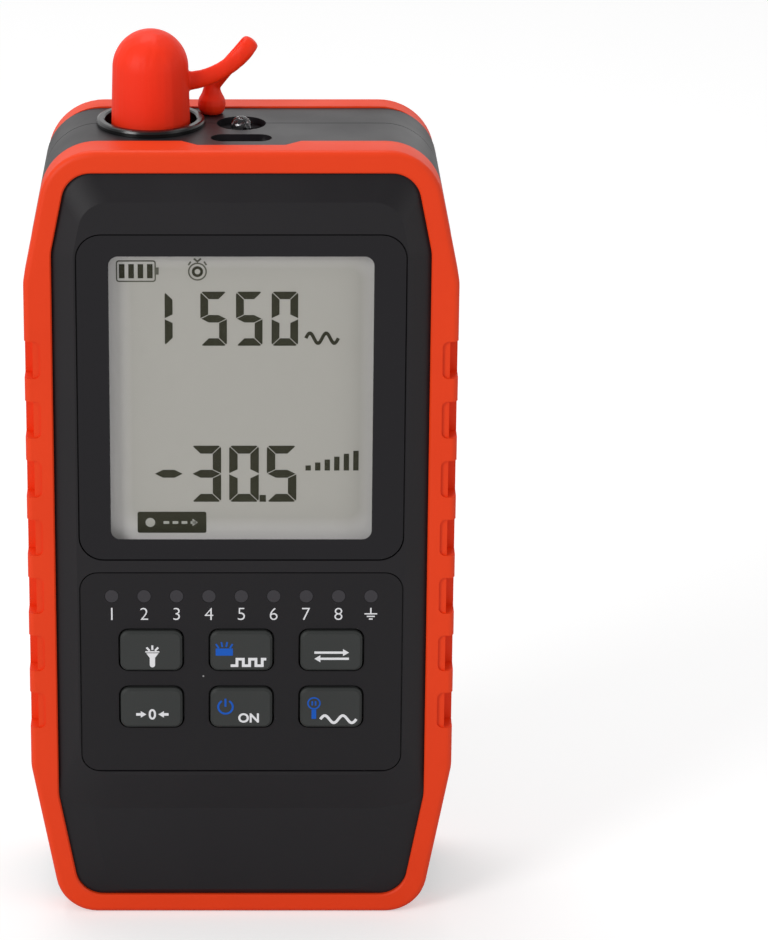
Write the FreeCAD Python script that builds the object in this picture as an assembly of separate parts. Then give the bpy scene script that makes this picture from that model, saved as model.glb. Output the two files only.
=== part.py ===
"""Handheld optical power meter with a rubber bumper frame, keypad and capped fibre port.

Millimetres. +Z runs up the case, the display faces -Y, and the origin is the middle of the
foot. Depths are distances behind the deck, the raised black face round the display.
One STEP file is written for each piece.
"""
import FreeCAD, Part
import math
import os

# ---------------------------------------------------------------- case envelope
WIDTH = 64.0                # across the bumpers
HEIGHT = 122.0              # foot to top of the bumpers
DEPTH = 30.0                # key faces to the rear of the rear bumper
KEY_PROUD = 0.6             # keys stand out of the deck by this
REAR = DEPTH - KEY_PROUD    # depth of the rear bumper's face, behind the deck
SHOULDER_LOW = 24.5         # the sides draw in below this height
SHOULDER_HIGH = 20.0        # and above this distance from the top
DRAW_LOW = 4.6              # each side draws in by this at the foot
DRAW_HIGH = 4.0             # and by this at the top
FOOT_CORNER_R = 6.4         # corners of the case outline at the foot
TOP_CORNER_R = 8.5          # and at the top
SHOULDER_R = 7.0            # soft bend where a side starts to draw in

# ---------------------------------------------------------------- clearances
SEAT = 0.05                 # between pieces that are bonded, clamped or screwed together
FIT = 0.2                   # round an inlaid panel, which shows as a fine groove
SLIP = 0.3                  # round what moves

# ---------------------------------------------------------------- shells and bumpers
WALL = 2.0                  # walls of the two covers
STEP = 0.25                 # covers lie this far inside the bumpers
SEAM_SET = 12.8             # joint between the covers, in front of the rear bumper's face
SEAM = REAR - SEAM_SET      # its depth behind the deck
SEAM_GAP = 0.15             # fine line that shows at the joint
TONGUE = 0.8                # thickness of the tongue that locates the covers
TONGUE_L = 1.2              # its length
BUMPER_T = 2.1              # bumper wall
LIP_T = 1.6                 # lip that turns over the face of a cover
LIP_SET = 0.95              # depth of the front lip's face
LIP_SIDE = 4.15             # lip width along the sides
LIP_DRAW = 3.25             # lip width where the sides draw in
LIP_TOP = 3.35              # lip width along the top
LIP_FOOT = 2.95             # lip width along the foot
LIP_ROUND = 0.9             # outer edge of a lip
LIP_EDGE = 0.2              # bevel on the inner edge of a lip
LIP_CORNER_R = 4.3          # corners of the opening inside a lip
BAND_BACK_W = 4.65          # width of the rear bumper's band
BAND_REAR = REAR - BAND_BACK_W
REAR_IN = 0.45              # the rear bumper is narrower than the front one by this, each side
PANEL_SET = 0.8             # the rear panel lies this far inside the rear bumper
DIP_HALF = 6.4              # half width of the dip that the front bumper makes at the USB slot
DIP_RUN = 2.4               # width of each slanted end of the dip
DIP_RISE = 2.1              # height of the dip, from the band's edge towards the face

# grip pockets down both edges of the front bumper
POCKET_LOW = 33.9           # height of the lowest pocket's centre
POCKET_PITCH = 9.35
POCKET_CLEAR = 11.0         # plain edge between the highest pocket's centre and the shoulder, at least
POCKET_RUN = HEIGHT - SHOULDER_HIGH - POCKET_CLEAR - POCKET_LOW
POCKETS = int(POCKET_RUN / POCKET_PITCH) + 1
POCKET_H = 5.8
POCKET_IN = 1.25            # how far a pocket cuts in from the side
POCKET_LEDGE = 1.9          # band left behind a pocket
SCOOP_IN = 1.1              # shallow scoop beside it, on the lip's face
SCOOP_DEEP = 0.35
SCOOP_R = 0.9

# ---------------------------------------------------------------- front face
EDGE_SET = 1.65             # depth of the front cover's face along the lip
DECK_SLOPE = 3.2            # width of the slope down the sides of the deck
DECK_TOP = 4.0              # width of the slope above the deck
DECK_RUN = 8.0              # height of the slope below the deck
DECK_R = 4.5                # corners of the deck
FIELD_SET = 1.25            # depth of the plain field below the deck
FIELD_SLOPE = 4.6           # width of its gentle side slopes
FIELD_EDGE = 0.9            # width of its slope at the foot

WINDOW_IN = 7.9             # side edges of window and overlay inside the bumpers
WINDOW_W = WIDTH - 2 * WINDOW_IN
WINDOW_H = 50.7
WINDOW_DROP = 37.8          # window's centre below the top
WINDOW_Z = HEIGHT - WINDOW_DROP
WINDOW_R = 3.6
WINDOW_T = 1.0
PANEL_SINK = 0.1            # window and overlay lie this far below the deck

VIEW_IN_X = 4.7             # printed black border of the window, at the sides
VIEW_IN_Z = 3.25            # and at top and foot
VIEW_W = WINDOW_W - 2 * VIEW_IN_X
VIEW_H = WINDOW_H - 2 * VIEW_IN_Z
VIEW_R = 1.1

OVERLAY_W = WINDOW_W
OVERLAY_H = 32.2
PANEL_GAP = 2.25            # deck between window and overlay
OVERLAY_Z = WINDOW_Z - WINDOW_H / 2 - PANEL_GAP - OVERLAY_H / 2
OVERLAY_FOOT = OVERLAY_Z - OVERLAY_H / 2
OVERLAY_R = 2.6
OVERLAY_T = 0.5
DECK_FOOT = OVERLAY_FOOT - 0.8      # height of the deck's lower edge

KEY_W = 9.3
KEY_H = 6.35
KEY_R = 1.25
KEY_COLUMNS = 3
KEY_ROWS = 2
KEY_IN_X = 10.55            # outer columns' centres inside the overlay's sides
KEY_PITCH_X = (OVERLAY_W - 2 * KEY_IN_X) / (KEY_COLUMNS - 1)
KEY_PITCH_Z = 9.3
KEY_DROP = 18.0             # lower row's centres below the indicator lamps
KEY_EDGE = 0.35             # soft edge round a key's face
KEY_TRAVEL = 0.8
KEY_FLANGE = 0.8            # flange behind the cover, all round
KEY_FLANGE_T = 0.9
STEM_R = 1.8

LAMPS = 9                   # indicator lamps above the keys
LAMP_IN_X = 4.66            # outer lamps inside the overlay's sides
LAMP_IN_Z = 3.7             # lamps below the overlay's top
LAMP_PITCH = (OVERLAY_W - 2 * LAMP_IN_X) / (LAMPS - 1)
LAMP_Z = OVERLAY_Z + OVERLAY_H / 2 - LAMP_IN_Z
KEY_Z = LAMP_Z - KEY_DROP
LAMP_R = 1.0
GUIDE_H = 2.4               # bar that joins the light pipes
GUIDE_T = 1.5

# ---------------------------------------------------------------- inside
CHAMBER_W = WINDOW_W + FIT  # chamber behind the deck for display and keys
CHAMBER_FOOT = DECK_FOOT + 2.0
CHAMBER_TOP = 11.0          # its distance below the top of the case
RIM_WALL = 1.8              # cover wall under the front lip
BOARD_SET = 10.3            # depth of the main board's front face
BOARD_T = 1.6
BOARD_IN = 3.2              # board edge inside the case outline
BOARD_CUT_R = 0.4           # extra radius of the board's clearance round a boss

GLASS_W = VIEW_W + 4.2      # glass reaches behind the black border
GLASS_H = VIEW_H + 2.8
GLASS_T = 1.1               # each of the two glass plates
GASKET_T = 0.3
LEDGE_H = 3.4               # contact ledge along the lower edge of the front plate
LIGHT_T = 2.5
LIGHT_IN = 0.5              # edge of the light guide inside the glass
ZEBRA_T = 2.2
ZEBRA_IN = 1.5              # ends of the contact strip inside the glass
FRAME_WALL = 1.1
FRAME_LEDGE = 3.5           # ledge that carries the light guide

DOME_R = 2.5
DOME_H = 0.45
MAT_T = 1.0
MAT_W = OVERLAY_W - 5.2
MAT_H = 22.6
BELLOWS_BASE = 4.3          # outer radius of a bellows at the mat
BELLOWS_TOP = 3.2           # and at its top
BELLOWS_WALL = 0.9

CASE_SCREW_X_LOW = WIDTH / 2 - 9.6
CASE_SCREW_X_HIGH = WIDTH / 2 - 7.8
CASE_SCREW_Z_LOW = 11.0
CASE_SCREW_Z_HIGH = 9.5     # distance below the top
CASE_BOSS_R = 3.0
CASE_SCREW_R = 1.1
CASE_SCREW_L = 12.0
CASE_HEAD_R = 2.1
CASE_HEAD_T = 1.6
CASE_HEAD_SEAT = 3.8        # seat of the head, behind the seam
DRIVE_R = 0.95              # cross recess in a head
DRIVE_DEEP = 0.9

BOARD_SCREW_X = WIDTH / 2 - 6.7
BOARD_SCREW_Z_LOW = 29.5
BOARD_SCREW_Z_HIGH = 22.0   # distance below the top
BOARD_BOSS_R = 2.2
BOARD_SCREW_R = 0.95
BOARD_SCREW_L = 5.0
BOARD_HEAD_R = 1.8
BOARD_HEAD_T = 1.2

CELL_IN = 15.0              # battery's sides inside the bumpers
CELL_W = WIDTH - 2 * CELL_IN
CELL_H = 50.0
CELL_T = 6.0
CELL_DROP = 56.0            # battery's centre below the top
CELL_Z = HEIGHT - CELL_DROP
CELL_R = 2.0
PAD_T = 0.5
PAD_IN = 2.0                # tape edge inside the cell's edge
RIB_T = 1.2
RIB_H = 4.0
RIB_RUN_X = 9.0             # length of a corner rib along the cell's ends
RIB_RUN_Z = 13.0            # and along its sides

# ---------------------------------------------------------------- top face
USB_SLOT_W = 8.95
USB_SLOT_H = 3.7
USB_W = 7.5
USB_H = 2.6
USB_L = 5.6
USB_METAL = 0.3
USB_FLOOR = 1.0             # metal and plastic behind the socket's cavity
USB_SINK = 1.1              # socket mouth below the top face
BLADE_W = 5.2               # contact blade inside the socket
BLADE_T = 0.6
BLADE_SINK = 0.6            # its tip below the socket's mouth
USB_SET = BOARD_SET - SEAT - USB_H / 2      # depth of the socket's and the slot's centre
BAND_FRONT = USB_SET - USB_SLOT_H / 2 - 0.6 # depth where the front bumper ends, just before the slot

PORT_X = -13.4
RING_R = 8.05               # raised ring round the fibre port
WELL_R = 6.8
RING_H = 0.95
NECK_R = 7.4                # neck through the joint of the covers
CUP_R = 8.1                 # wider foot of the cup, behind the rim of the covers
SADDLE_T = 0.5              # thickness added to the rim that holds the cup, beyond the cup
CUP_DEEP = 4.9              # well floor below the top face
CUP_FLOOR = 1.4
FLANGE_R = 6.2              # adapter flange on the well floor
FLANGE_T = 1.5
BARREL_R = 4.0              # threaded barrel
BARREL_H = 8.2              # its height above the top face
SPIGOT_R = 4.1              # adapter spigot through the well floor
KEYWAY_W = 2.2
KEYWAY_H = 3.0
FERRULE_R = 1.25            # bore that takes a 2.5 mm ferrule
SLEEVE_T = 0.35
SLEEVE_L = 11.4
SLEEVE_SLIT = 0.35
MOUTH_T = 0.5               # lip that keeps the sleeve in
MOUTH_R = 1.4
DIODE_R = 2.7
DIODE_H = 3.4
LEAD_T = 0.48               # square leads of the photodiode and torch lamp

LED_R = 1.55
LED_H = 1.1                 # dome above the top face
LED_RIM_R = 1.9
LED_RIM_T = 1.0
LED_DISH_R = 3.65           # shallow dish round the torch lamp
LED_DISH_DEEP = 1.1
LED_PITCH = 2.54

# ---------------------------------------------------------------- dust cap and its strap
CAP_R = 5.92
CAP_TAPER = 0.3             # the cap is slimmer by this where its dome starts
CAP_TOP = 14.3              # top of the dome above the top face
CAP_DOME = 5.75             # height of the dome, more than its radius
CAP_GAP = 0.6               # air above the barrel
STRAP_W = 2.3               # oval section of the strap
STRAP_T = 1.2
STRAP_FLARE = 0.16          # it widens by this share at the cap
STRAP_Z = 6.3               # height of the strap at the cap, above the top face
STRAP_BACK = 0.6            # front strand behind the middle of the port, at the cap
FOLD_X = -0.7               # where the strap starts to fold back on itself
FOLD_Z = 9.4
FOLD_BACK = 1.7             # front strand behind the middle of the port, at the fold
FOLD_PITCH = 2.3            # distance between the two strands at the fold
FOLD_TURN = 46.0            # slant of the strap at the fold, in degrees
ANCHOR_X = -4.4
ANCHOR_BACK = 5.4           # strap's anchor behind the joint between the covers
ANCHOR_SET = SEAM + ANCHOR_BACK
ANCHOR_R = 2.08             # bulb above the top face
ANCHOR_H = 4.7              # height of its neck
NECK_W = 1.0                # radius of that neck
PEG_R = 1.0
PEG_L = 2.6

# ---------------------------------------------------------------- network jack in the foot
JACK_W = 15.9
JACK_D = 11.2
JACK_L = 20.0
JACK_SINK = 0.4             # jack face above the foot face of the covers
PLUG_W = 11.9
PLUG_D = 8.0
PLUG_L = 13.0
PLUG_WALL = 1.3             # wall between board and plug cavity
LATCH_W = 6.2
LATCH_D = 1.6
LATCH_L = 7.5
CONTACTS = 8
CONTACT_PITCH = 1.02
CONTACT_T = 0.45
CONTACT_RISE = 2.2          # contacts slant into the cavity by this

# chips on the rear of the board: x, z, width, height, thickness
PROCESSOR = (7.0, HEIGHT - 48.0, 10.0, 10.0, 1.4)
AMPLIFIER = (PORT_X, HEIGHT - 24.0, 5.0, 4.0, 1.5)
CHARGER = (8.0, HEIGHT - 18.0, 4.0, 4.0, 0.9)
HEADER = (-CELL_W / 2 - 6.0, HEIGHT - 38.0, 6.0, 4.4, 3.4)
PROCESSOR_LEGS = 12
AMPLIFIER_LEGS = 4
LAMP_CHIP_W = 1.6           # indicator lamps on the board
LAMP_CHIP_H = 0.8
LAMP_CHIP_T = 0.7
BUZZER_X = 15.0
BUZZER_Z = 32.0
BUZZER_R = 4.75
BUZZER_T = 4.2
BUZZER_HOLE_R = 0.8
PLUG_OUT = 2.2              # battery plug behind its header
PLUG_EDGE = 0.6             # wall of the header round the plug
PLUG_DEEP = 1.4
CORD_R = 0.6                # battery leads
CORD_BEND = 1.6
CORD_PITCH = 2.4            # distance between the two leads
CORD_RISE = 3.2             # leads above the cell
CORD_IN = 10.5              # where they enter the cell, inside its side

# ---------------------------------------------------------------- derived places
Y_DECK = -DEPTH / 2 + KEY_PROUD
TOP_FACE = HEIGHT - STEP                    # outer face of the covers' top wall
TOP_IN = TOP_FACE - WALL
WELL_FLOOR = TOP_FACE - CUP_DEEP
LIP_BACK = LIP_SET + LIP_T                  # depth where the front cover meets the lip
CAVITY_FRONT = LIP_BACK + RIM_WALL          # inner face of the front cover beside the pocket
BACK_IN = REAR - LIP_T - WALL + PANEL_SET / 2
BOARD_BACK = BOARD_SET + BOARD_T
DECK_INNER = WINDOW_T + PANEL_SINK + 0.9  # inner face of the deck
KEY_X = [(i - (KEY_COLUMNS - 1) / 2) * KEY_PITCH_X for i in range(KEY_COLUMNS)]
LAMP_X = [(i - (LAMPS - 1) / 2) * LAMP_PITCH for i in range(LAMPS)]
SHELL_IN = STEP + WALL
NECK_IN = BUMPER_T + RIM_WALL
SADDLE_LOW = HEIGHT - NECK_IN               # underside of the rim that holds the port's cup


def vec(x, y, z):
    return FreeCAD.Vector(x, y, z)


def behind(depth):
    """Y of a plane that lies this far behind the deck."""
    return Y_DECK + depth


# ---------------------------------------------------------------- form helpers
def rounded_wire(points, radii, y):
    """Closed wire at y through (x, z) points, with each corner rounded by its radius."""
    count = len(points)
    spots = [vec(x, y, z) for x, z in points]
    arcs = []
    for i, spot in enumerate(spots):
        to_last = (spots[i - 1] - spot).normalize()
        to_next = (spots[(i + 1) % count] - spot).normalize()
        half_angle = to_last.getAngle(to_next) / 2
        reach = radii[i] / math.tan(half_angle)
        middle = (to_last + to_next).normalize() * (radii[i] / math.sin(half_angle) - radii[i])
        arcs.append((spot + to_last * reach, spot + middle, spot + to_next * reach))
    edges = []
    for i, (start, middle, end) in enumerate(arcs):
        edges.append(Part.Arc(start, middle, end).toShape())
        following = arcs[(i + 1) % count][0]
        if (following - end).Length > 1e-6:
            edges.append(Part.LineSegment(end, following).toShape())
    return Part.Wire(edges)


def slab(points, radii, front, back):
    """Flat piece with rounded corners between two depths."""
    face = Part.Face(rounded_wire(points, radii, behind(front)))
    return face.extrude(vec(0, back - front, 0))


def hip(front, back):
    """Solid between two rounded outlines, each given as (points, radii, depth)."""
    wires = [rounded_wire(points, radii, behind(depth)) for points, radii, depth in (front, back)]
    return Part.makeLoft(wires, True, True)


def rectangle(x, z, width, height):
    return [(x - width / 2, z - height / 2), (x + width / 2, z - height / 2),
            (x + width / 2, z + height / 2), (x - width / 2, z + height / 2)]


def panel(x, z, width, height, radius, front, back):
    """Rounded rectangular slab, centred on (x, z), between two depths."""
    return slab(rectangle(x, z, width, height), [radius] * 4, front, back)


def block(x, z, width, height, front, back):
    """Sharp-edged block, centred on (x, z), between two depths."""
    corner = vec(x - width / 2, behind(front), z - height / 2)
    return Part.makeBox(width, back - front, height, corner)


def rod(x, z, radius, front, back):
    """Cylinder along the depth."""
    return Part.makeCylinder(radius, back - front, vec(x, behind(front), z), vec(0, 1, 0))


def post(x, depth, radius, low, high):
    """Upright cylinder."""
    return Part.makeCylinder(radius, high - low, vec(x, behind(depth), low))


def turned(profile, x, depth):
    """Solid of revolution about an upright axis; the profile is a closed list of (r, z)."""
    spots = [vec(x + r, behind(depth), z) for r, z in profile]
    face = Part.Face(Part.makePolygon(spots + spots[:1]))
    return face.revolve(vec(x, behind(depth), 0), vec(0, 0, 1), 360)


def union(shapes):
    shapes = list(shapes)
    return shapes[0].multiFuse(shapes[1:]).removeSplitter()


def edges_at(shape, depth):
    """Edges that lie in the plane at a depth."""
    y = behind(depth)
    flat = [e for e in shape.Edges if e.BoundBox.YLength < 1e-3]
    return [e for e in flat if abs(e.BoundBox.YMin - y) < 1e-3]


def save(name, shape):
    shape.exportStep(os.path.join("parts", name + ".step"))


# ---------------------------------------------------------------- case outlines
def case_points(side, draw, foot, top):
    """Case outline drawn in by a distance along the sides, the drawn-in runs, foot and top."""
    slope_low = DRAW_LOW / SHOULDER_LOW
    slope_high = DRAW_HIGH / SHOULDER_HIGH
    half = WIDTH / 2 - side
    high = HEIGHT - top
    knee_low = SHOULDER_LOW - (side - draw) / slope_low
    knee_high = HEIGHT - SHOULDER_HIGH + (side - draw) / slope_high
    end_low = half - slope_low * (knee_low - foot)
    end_high = half - slope_high * (high - knee_high)
    right = [(end_low, foot), (half, knee_low), (half, knee_high), (end_high, high)]
    left = [(-x, z) for x, z in reversed(right)]
    return left[-1:] + right + left[:-1]


def outline_radii(inset):
    """Corner radii of the case outline, drawn in evenly."""
    foot = max(FOOT_CORNER_R - inset, 1.0)
    top = max(TOP_CORNER_R - inset, 1.0)
    return [foot, foot, SHOULDER_R, SHOULDER_R, top, top, SHOULDER_R, SHOULDER_R]


def case_slab(inset, front, back):
    """Slab with the case outline, drawn in evenly."""
    return slab(case_points(inset, inset, inset, inset), outline_radii(inset), front, back)


def opening_points(grow=0.0, foot=0.0, top=0.0):
    """Outline of the opening inside a lip, drawn in by the given amounts."""
    return case_points(LIP_SIDE + grow, LIP_DRAW + grow, LIP_FOOT + foot, LIP_TOP + top)


OPENING_R = [LIP_CORNER_R, LIP_CORNER_R, SHOULDER_R, SHOULDER_R] * 2


def deck_points(depth_share):
    """Outline of the deck: 0 where its slopes meet the lip, and 1 at its face."""
    points = opening_points(SEAT + DECK_SLOPE * depth_share, 0, SEAT + DECK_TOP * depth_share)
    foot = DECK_FOOT - DECK_RUN * (1 - depth_share)
    half = WIDTH / 2 - LIP_SIDE - SEAT - DECK_SLOPE * depth_share
    return [(-half, foot), (half, foot), points[3], points[4], points[5], points[6]]


DECK_RADII = [DECK_R + 2, DECK_R + 2, SHOULDER_R, DECK_R, DECK_R, SHOULDER_R]


# ---------------------------------------------------------------- bumpers
def dip(clear):
    """Block behind the top lip, where the front bumper leaves room for the USB slot."""
    inner = DIP_HALF - clear
    outer = DIP_HALF + DIP_RUN - clear
    front = behind(BAND_FRONT - DIP_RISE + clear)
    back = behind(BAND_FRONT + SEAT)
    low = HEIGHT - NECK_IN
    spots = [vec(-inner, front, low), vec(inner, front, low), vec(outer, back, low), vec(-outer, back, low)]
    return Part.Face(Part.makePolygon(spots + spots[:1])).extrude(vec(0, 0, NECK_IN + 1))


def grip_pocket(side, z):
    """Tool for one grip pocket with the shallow scoop beside it."""
    edge = side * WIDTH / 2
    deep = block(edge, z, 2 * POCKET_IN, POCKET_H, LIP_SET - 1, BAND_FRONT - POCKET_LEDGE)
    middle = edge - side * POCKET_IN
    scoop = panel(middle, z, 2 * SCOOP_IN, POCKET_H, SCOOP_R, LIP_SET - 1, LIP_SET + SCOOP_DEEP)
    return deep.fuse(scoop)


def lip_opening(face, inner):
    """Tool for the opening inside a lip, bevelled at the lip's face."""
    back = 1 if inner > face else -1
    straight = slab(opening_points(), OPENING_R, min(face, inner) - 1, max(face, inner) + 1)
    wide = opening_points(-LIP_EDGE, -LIP_EDGE, -LIP_EDGE)
    bevel = hip((wide, OPENING_R, face), (opening_points(), OPENING_R, face + back * LIP_EDGE))
    return straight.fuse(bevel)


def front_bumper():
    body = slab(case_points(0, 0, 0, 0), outline_radii(0), LIP_SET, BAND_FRONT)
    body = body.makeFillet(LIP_ROUND, edges_at(body, LIP_SET))
    tools = [lip_opening(LIP_SET, LIP_BACK), case_slab(BUMPER_T, LIP_BACK, BAND_FRONT + 1), dip(0)]
    for i in range(POCKETS):
        for side in (-1, 1):
            tools.append(grip_pocket(side, POCKET_LOW + i * POCKET_PITCH))
    return body.cut(tools)


def rear_bumper():
    body = slab(case_points(REAR_IN, REAR_IN, 0, 0), outline_radii(0), BAND_REAR, REAR)
    body = body.makeFillet(LIP_ROUND, edges_at(body, REAR))
    return body.cut([lip_opening(REAR, REAR - LIP_T), case_slab(BUMPER_T, BAND_REAR - 1, REAR - LIP_T)])


# ---------------------------------------------------------------- covers
def case_screw_places():
    low = [(side * CASE_SCREW_X_LOW, CASE_SCREW_Z_LOW) for side in (-1, 1)]
    high = [(side * CASE_SCREW_X_HIGH, HEIGHT - CASE_SCREW_Z_HIGH) for side in (-1, 1)]
    return low + high


def board_screw_places():
    heights = (BOARD_SCREW_Z_LOW, HEIGHT - BOARD_SCREW_Z_HIGH)
    return [(side * BOARD_SCREW_X, z) for side in (-1, 1) for z in heights]


def end_openings():
    """Tools for the openings that the joint between the covers runs through."""
    port = post(PORT_X, SEAM, NECK_R + SEAT, SADDLE_LOW - 1, TOP_FACE + 1)
    lamp = post(0, SEAM, LED_R + FIT, TOP_IN - 1, TOP_FACE + 1)
    dish = post(0, SEAM, LED_DISH_R, TOP_FACE - LED_DISH_DEEP, TOP_FACE + 1)
    jack_low = BOARD_BACK - SEAT
    jack_z = (STEP + WALL) / 2
    jack = block(0, jack_z, JACK_W + 2 * SEAT, 2 * WALL + 2, jack_low, BOARD_BACK + JACK_D + SEAT)
    return [port, lamp, dish, jack]


def front_cover():
    # outer form: side band, neck under the bumper, rim, lower field and raised deck
    field_back = opening_points(SEAT, SEAT, SEAT)
    field_front = opening_points(FIELD_SLOPE, FIELD_EDGE, FIELD_SLOPE)
    outer = [
        case_slab(STEP, BAND_FRONT + SEAT, SEAM),
        case_slab(BUMPER_T + SEAT, LIP_BACK + SEAT, BAND_FRONT + 1),
        slab(field_back, OPENING_R, EDGE_SET, LIP_BACK + 0.5),
        hip((field_front, OPENING_R, FIELD_SET), (field_back, OPENING_R, EDGE_SET)),
        hip((deck_points(1), DECK_RADII, 0), (deck_points(0), DECK_RADII, EDGE_SET)),
        dip(SEAT).common(case_slab(STEP, 0, SEAM)),
    ]
    shell = union(outer)
    tongue = case_slab(SHELL_IN - TONGUE, SEAM, SEAM + TONGUE_L)
    chamber_h = HEIGHT - CHAMBER_TOP - CHAMBER_FOOT
    chamber_z = CHAMBER_FOOT + chamber_h / 2
    hollow = [
        case_slab(NECK_IN, CAVITY_FRONT, SEAM),
        case_slab(SHELL_IN, BAND_FRONT + SEAT + 0.9, SEAM + TONGUE_L + 1),
        panel(0, chamber_z, CHAMBER_W, chamber_h, 2.0, DECK_INNER, CAVITY_FRONT + 1),
    ]
    shell = shell.fuse(tongue).cut(hollow)
    # saddle for the fibre port, and bosses for the case screws and the board
    bosses = [post(PORT_X, SEAM, CUP_R + SADDLE_T, SADDLE_LOW, TOP_IN)]
    bosses += [rod(x, z, CASE_BOSS_R, LIP_BACK + WALL / 2, SEAM - SEAT) for x, z in case_screw_places()]
    bosses += [rod(x, z, BOARD_BOSS_R, LIP_BACK + WALL / 2, BOARD_SET) for x, z in board_screw_places()]
    envelope = case_slab(STEP, DECK_INNER, SEAM)
    shell = union([shell] + [boss.common(envelope) for boss in bosses])
    pilot_end = SEAM + CASE_HEAD_SEAT - CASE_SCREW_L - 1
    cuts = [rod(x, z, CASE_SCREW_R + SEAT, pilot_end, SEAM + 1) for x, z in case_screw_places()]
    board_pilot = BOARD_BACK - BOARD_SCREW_L - 0.6
    cuts += [rod(x, z, BOARD_SCREW_R + SEAT, board_pilot, BOARD_SET + 1) for x, z in board_screw_places()]
    # display window, keypad overlay, keys and lamps
    cuts.append(panel(0, WINDOW_Z, WINDOW_W + 2 * FIT, WINDOW_H + 2 * FIT, WINDOW_R + FIT,
                      -1, PANEL_SINK + WINDOW_T + SEAT))
    cuts.append(panel(0, WINDOW_Z, VIEW_W + 2, VIEW_H + 2, VIEW_R + 1, -1, CAVITY_FRONT))
    cuts.append(panel(0, OVERLAY_Z, OVERLAY_W + 2 * FIT, OVERLAY_H + 2 * FIT, OVERLAY_R + FIT,
                      -1, PANEL_SINK + OVERLAY_T + SEAT))
    for x, z in key_places():
        cuts.append(panel(x, z, KEY_W + 2 * SLIP, KEY_H + 2 * SLIP, KEY_R + SLIP, -1, CAVITY_FRONT))
    cuts += [rod(x, LAMP_Z, LAMP_R + SEAT, -1, CAVITY_FRONT) for x in LAMP_X]
    slot = panel_up(0, USB_SET, USB_SLOT_W, USB_SLOT_H, TOP_IN - NECK_IN, TOP_FACE + 1)
    return shell.cut(cuts + end_openings() + [slot])


def panel_up(x, depth, width, height, low, high):
    """Upright block with fully rounded ends, for a slot in the top face."""
    radius = height / 2
    reach = width / 2 - radius
    middle = Part.makeBox(2 * reach, height, high - low, vec(x - reach, behind(depth) - radius, low))
    ends = [post(x + side * reach, depth, radius, low, high) for side in (-1, 1)]
    return union([middle] + ends)


def rear_cover():
    panel_back = opening_points(SEAT, SEAT, SEAT)
    panel_face = opening_points(SEAT + 0.4, SEAT + 0.4, SEAT + 0.4)
    outer = [
        case_slab(STEP, SEAM + SEAM_GAP, BAND_REAR - SEAT),
        case_slab(BUMPER_T + SEAT, BAND_REAR - 1, REAR - LIP_T - SEAT),
        hip((panel_back, OPENING_R, REAR - LIP_T - 0.5), (panel_face, OPENING_R, REAR - PANEL_SET)),
    ]
    shell = union(outer)
    hollow = [
        case_slab(SHELL_IN, SEAM, BAND_REAR - 1.5),
        case_slab(NECK_IN, SEAM, BACK_IN),
        case_slab(SHELL_IN - TONGUE - FIT, SEAM, SEAM + TONGUE_L + FIT),
    ]
    shell = shell.cut(hollow)
    bosses = [rod(x, z, CASE_BOSS_R, SEAM + SEAM_GAP, BACK_IN + 0.5) for x, z in case_screw_places()]
    saddle = post(PORT_X, SEAM, CUP_R + SADDLE_T, SADDLE_LOW, TOP_IN)
    bosses.append(saddle.common(case_slab(STEP, SEAM + SEAM_GAP, BACK_IN)))
    ribs = [cell_ribs()]
    anchor = post(ANCHOR_X, ANCHOR_SET, PEG_R + 1.2, TOP_FACE - PEG_L - 0.6, TOP_IN + 0.5)
    shell = union([shell, anchor] + bosses + ribs)
    seat = SEAM + CASE_HEAD_SEAT
    cuts = [rod(x, z, CASE_HEAD_R + SLIP, seat, REAR + 1) for x, z in case_screw_places()]
    cuts += [rod(x, z, CASE_SCREW_R + SEAT, SEAM - 1, seat + 1) for x, z in case_screw_places()]
    cuts.append(post(ANCHOR_X, ANCHOR_SET, PEG_R + SEAT, TOP_FACE - PEG_L - 0.3, TOP_FACE + 1))
    tongue_end = SEAM + TONGUE_L + FIT
    tongue_room = case_slab(SHELL_IN - TONGUE - FIT, SEAM, tongue_end)
    cuts.append(tongue_room.cut(case_slab(SHELL_IN + FIT, SEAM - 1, tongue_end + 1)))
    return shell.cut(cuts + end_openings())


def cell_ribs():
    """Low fence round the battery on the rear cover."""
    wide = CELL_W + 2 * (FIT + RIB_T)
    tall = CELL_H + 2 * (FIT + RIB_T)
    outer = block(0, CELL_Z, wide, tall, BACK_IN - RIB_H, BACK_IN + 0.5)
    inner = block(0, CELL_Z, wide - 2 * RIB_T, tall - 2 * RIB_T, BACK_IN - RIB_H - 1, BACK_IN + 1)
    front = BACK_IN - RIB_H - 1
    gaps = [block(0, CELL_Z, wide - 2 * RIB_RUN_X, tall + 2, front, BACK_IN + 1),
            block(0, CELL_Z, wide + 2, tall - 2 * RIB_RUN_Z, front, BACK_IN + 1)]
    return outer.cut([inner] + gaps)


# ---------------------------------------------------------------- display
def display_window():
    return panel(0, WINDOW_Z, WINDOW_W, WINDOW_H, WINDOW_R, PANEL_SINK, PANEL_SINK + WINDOW_T)


GASKET_FRONT = DECK_INNER + SEAT
GLASS_FRONT = GASKET_FRONT + GASKET_T
GLASS_BACK = GLASS_FRONT + 2 * GLASS_T
LIGHT_BACK = GLASS_BACK + LIGHT_T
GLASS_FOOT = WINDOW_Z + VIEW_H / 2 + 1.2 - GLASS_H      # lower edge of the front plate
GLASS_Z = GLASS_FOOT + GLASS_H / 2
BACK_PLATE_H = GLASS_H - LEDGE_H
BACK_PLATE_Z = GLASS_FOOT + LEDGE_H + BACK_PLATE_H / 2
LIGHT_W = GLASS_W - 2 * LIGHT_IN
LIGHT_H = BACK_PLATE_H - 2 * LIGHT_IN
ZEBRA_W = GLASS_W - 2 * ZEBRA_IN
ZEBRA_Z = GLASS_FOOT + LEDGE_H / 2


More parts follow.
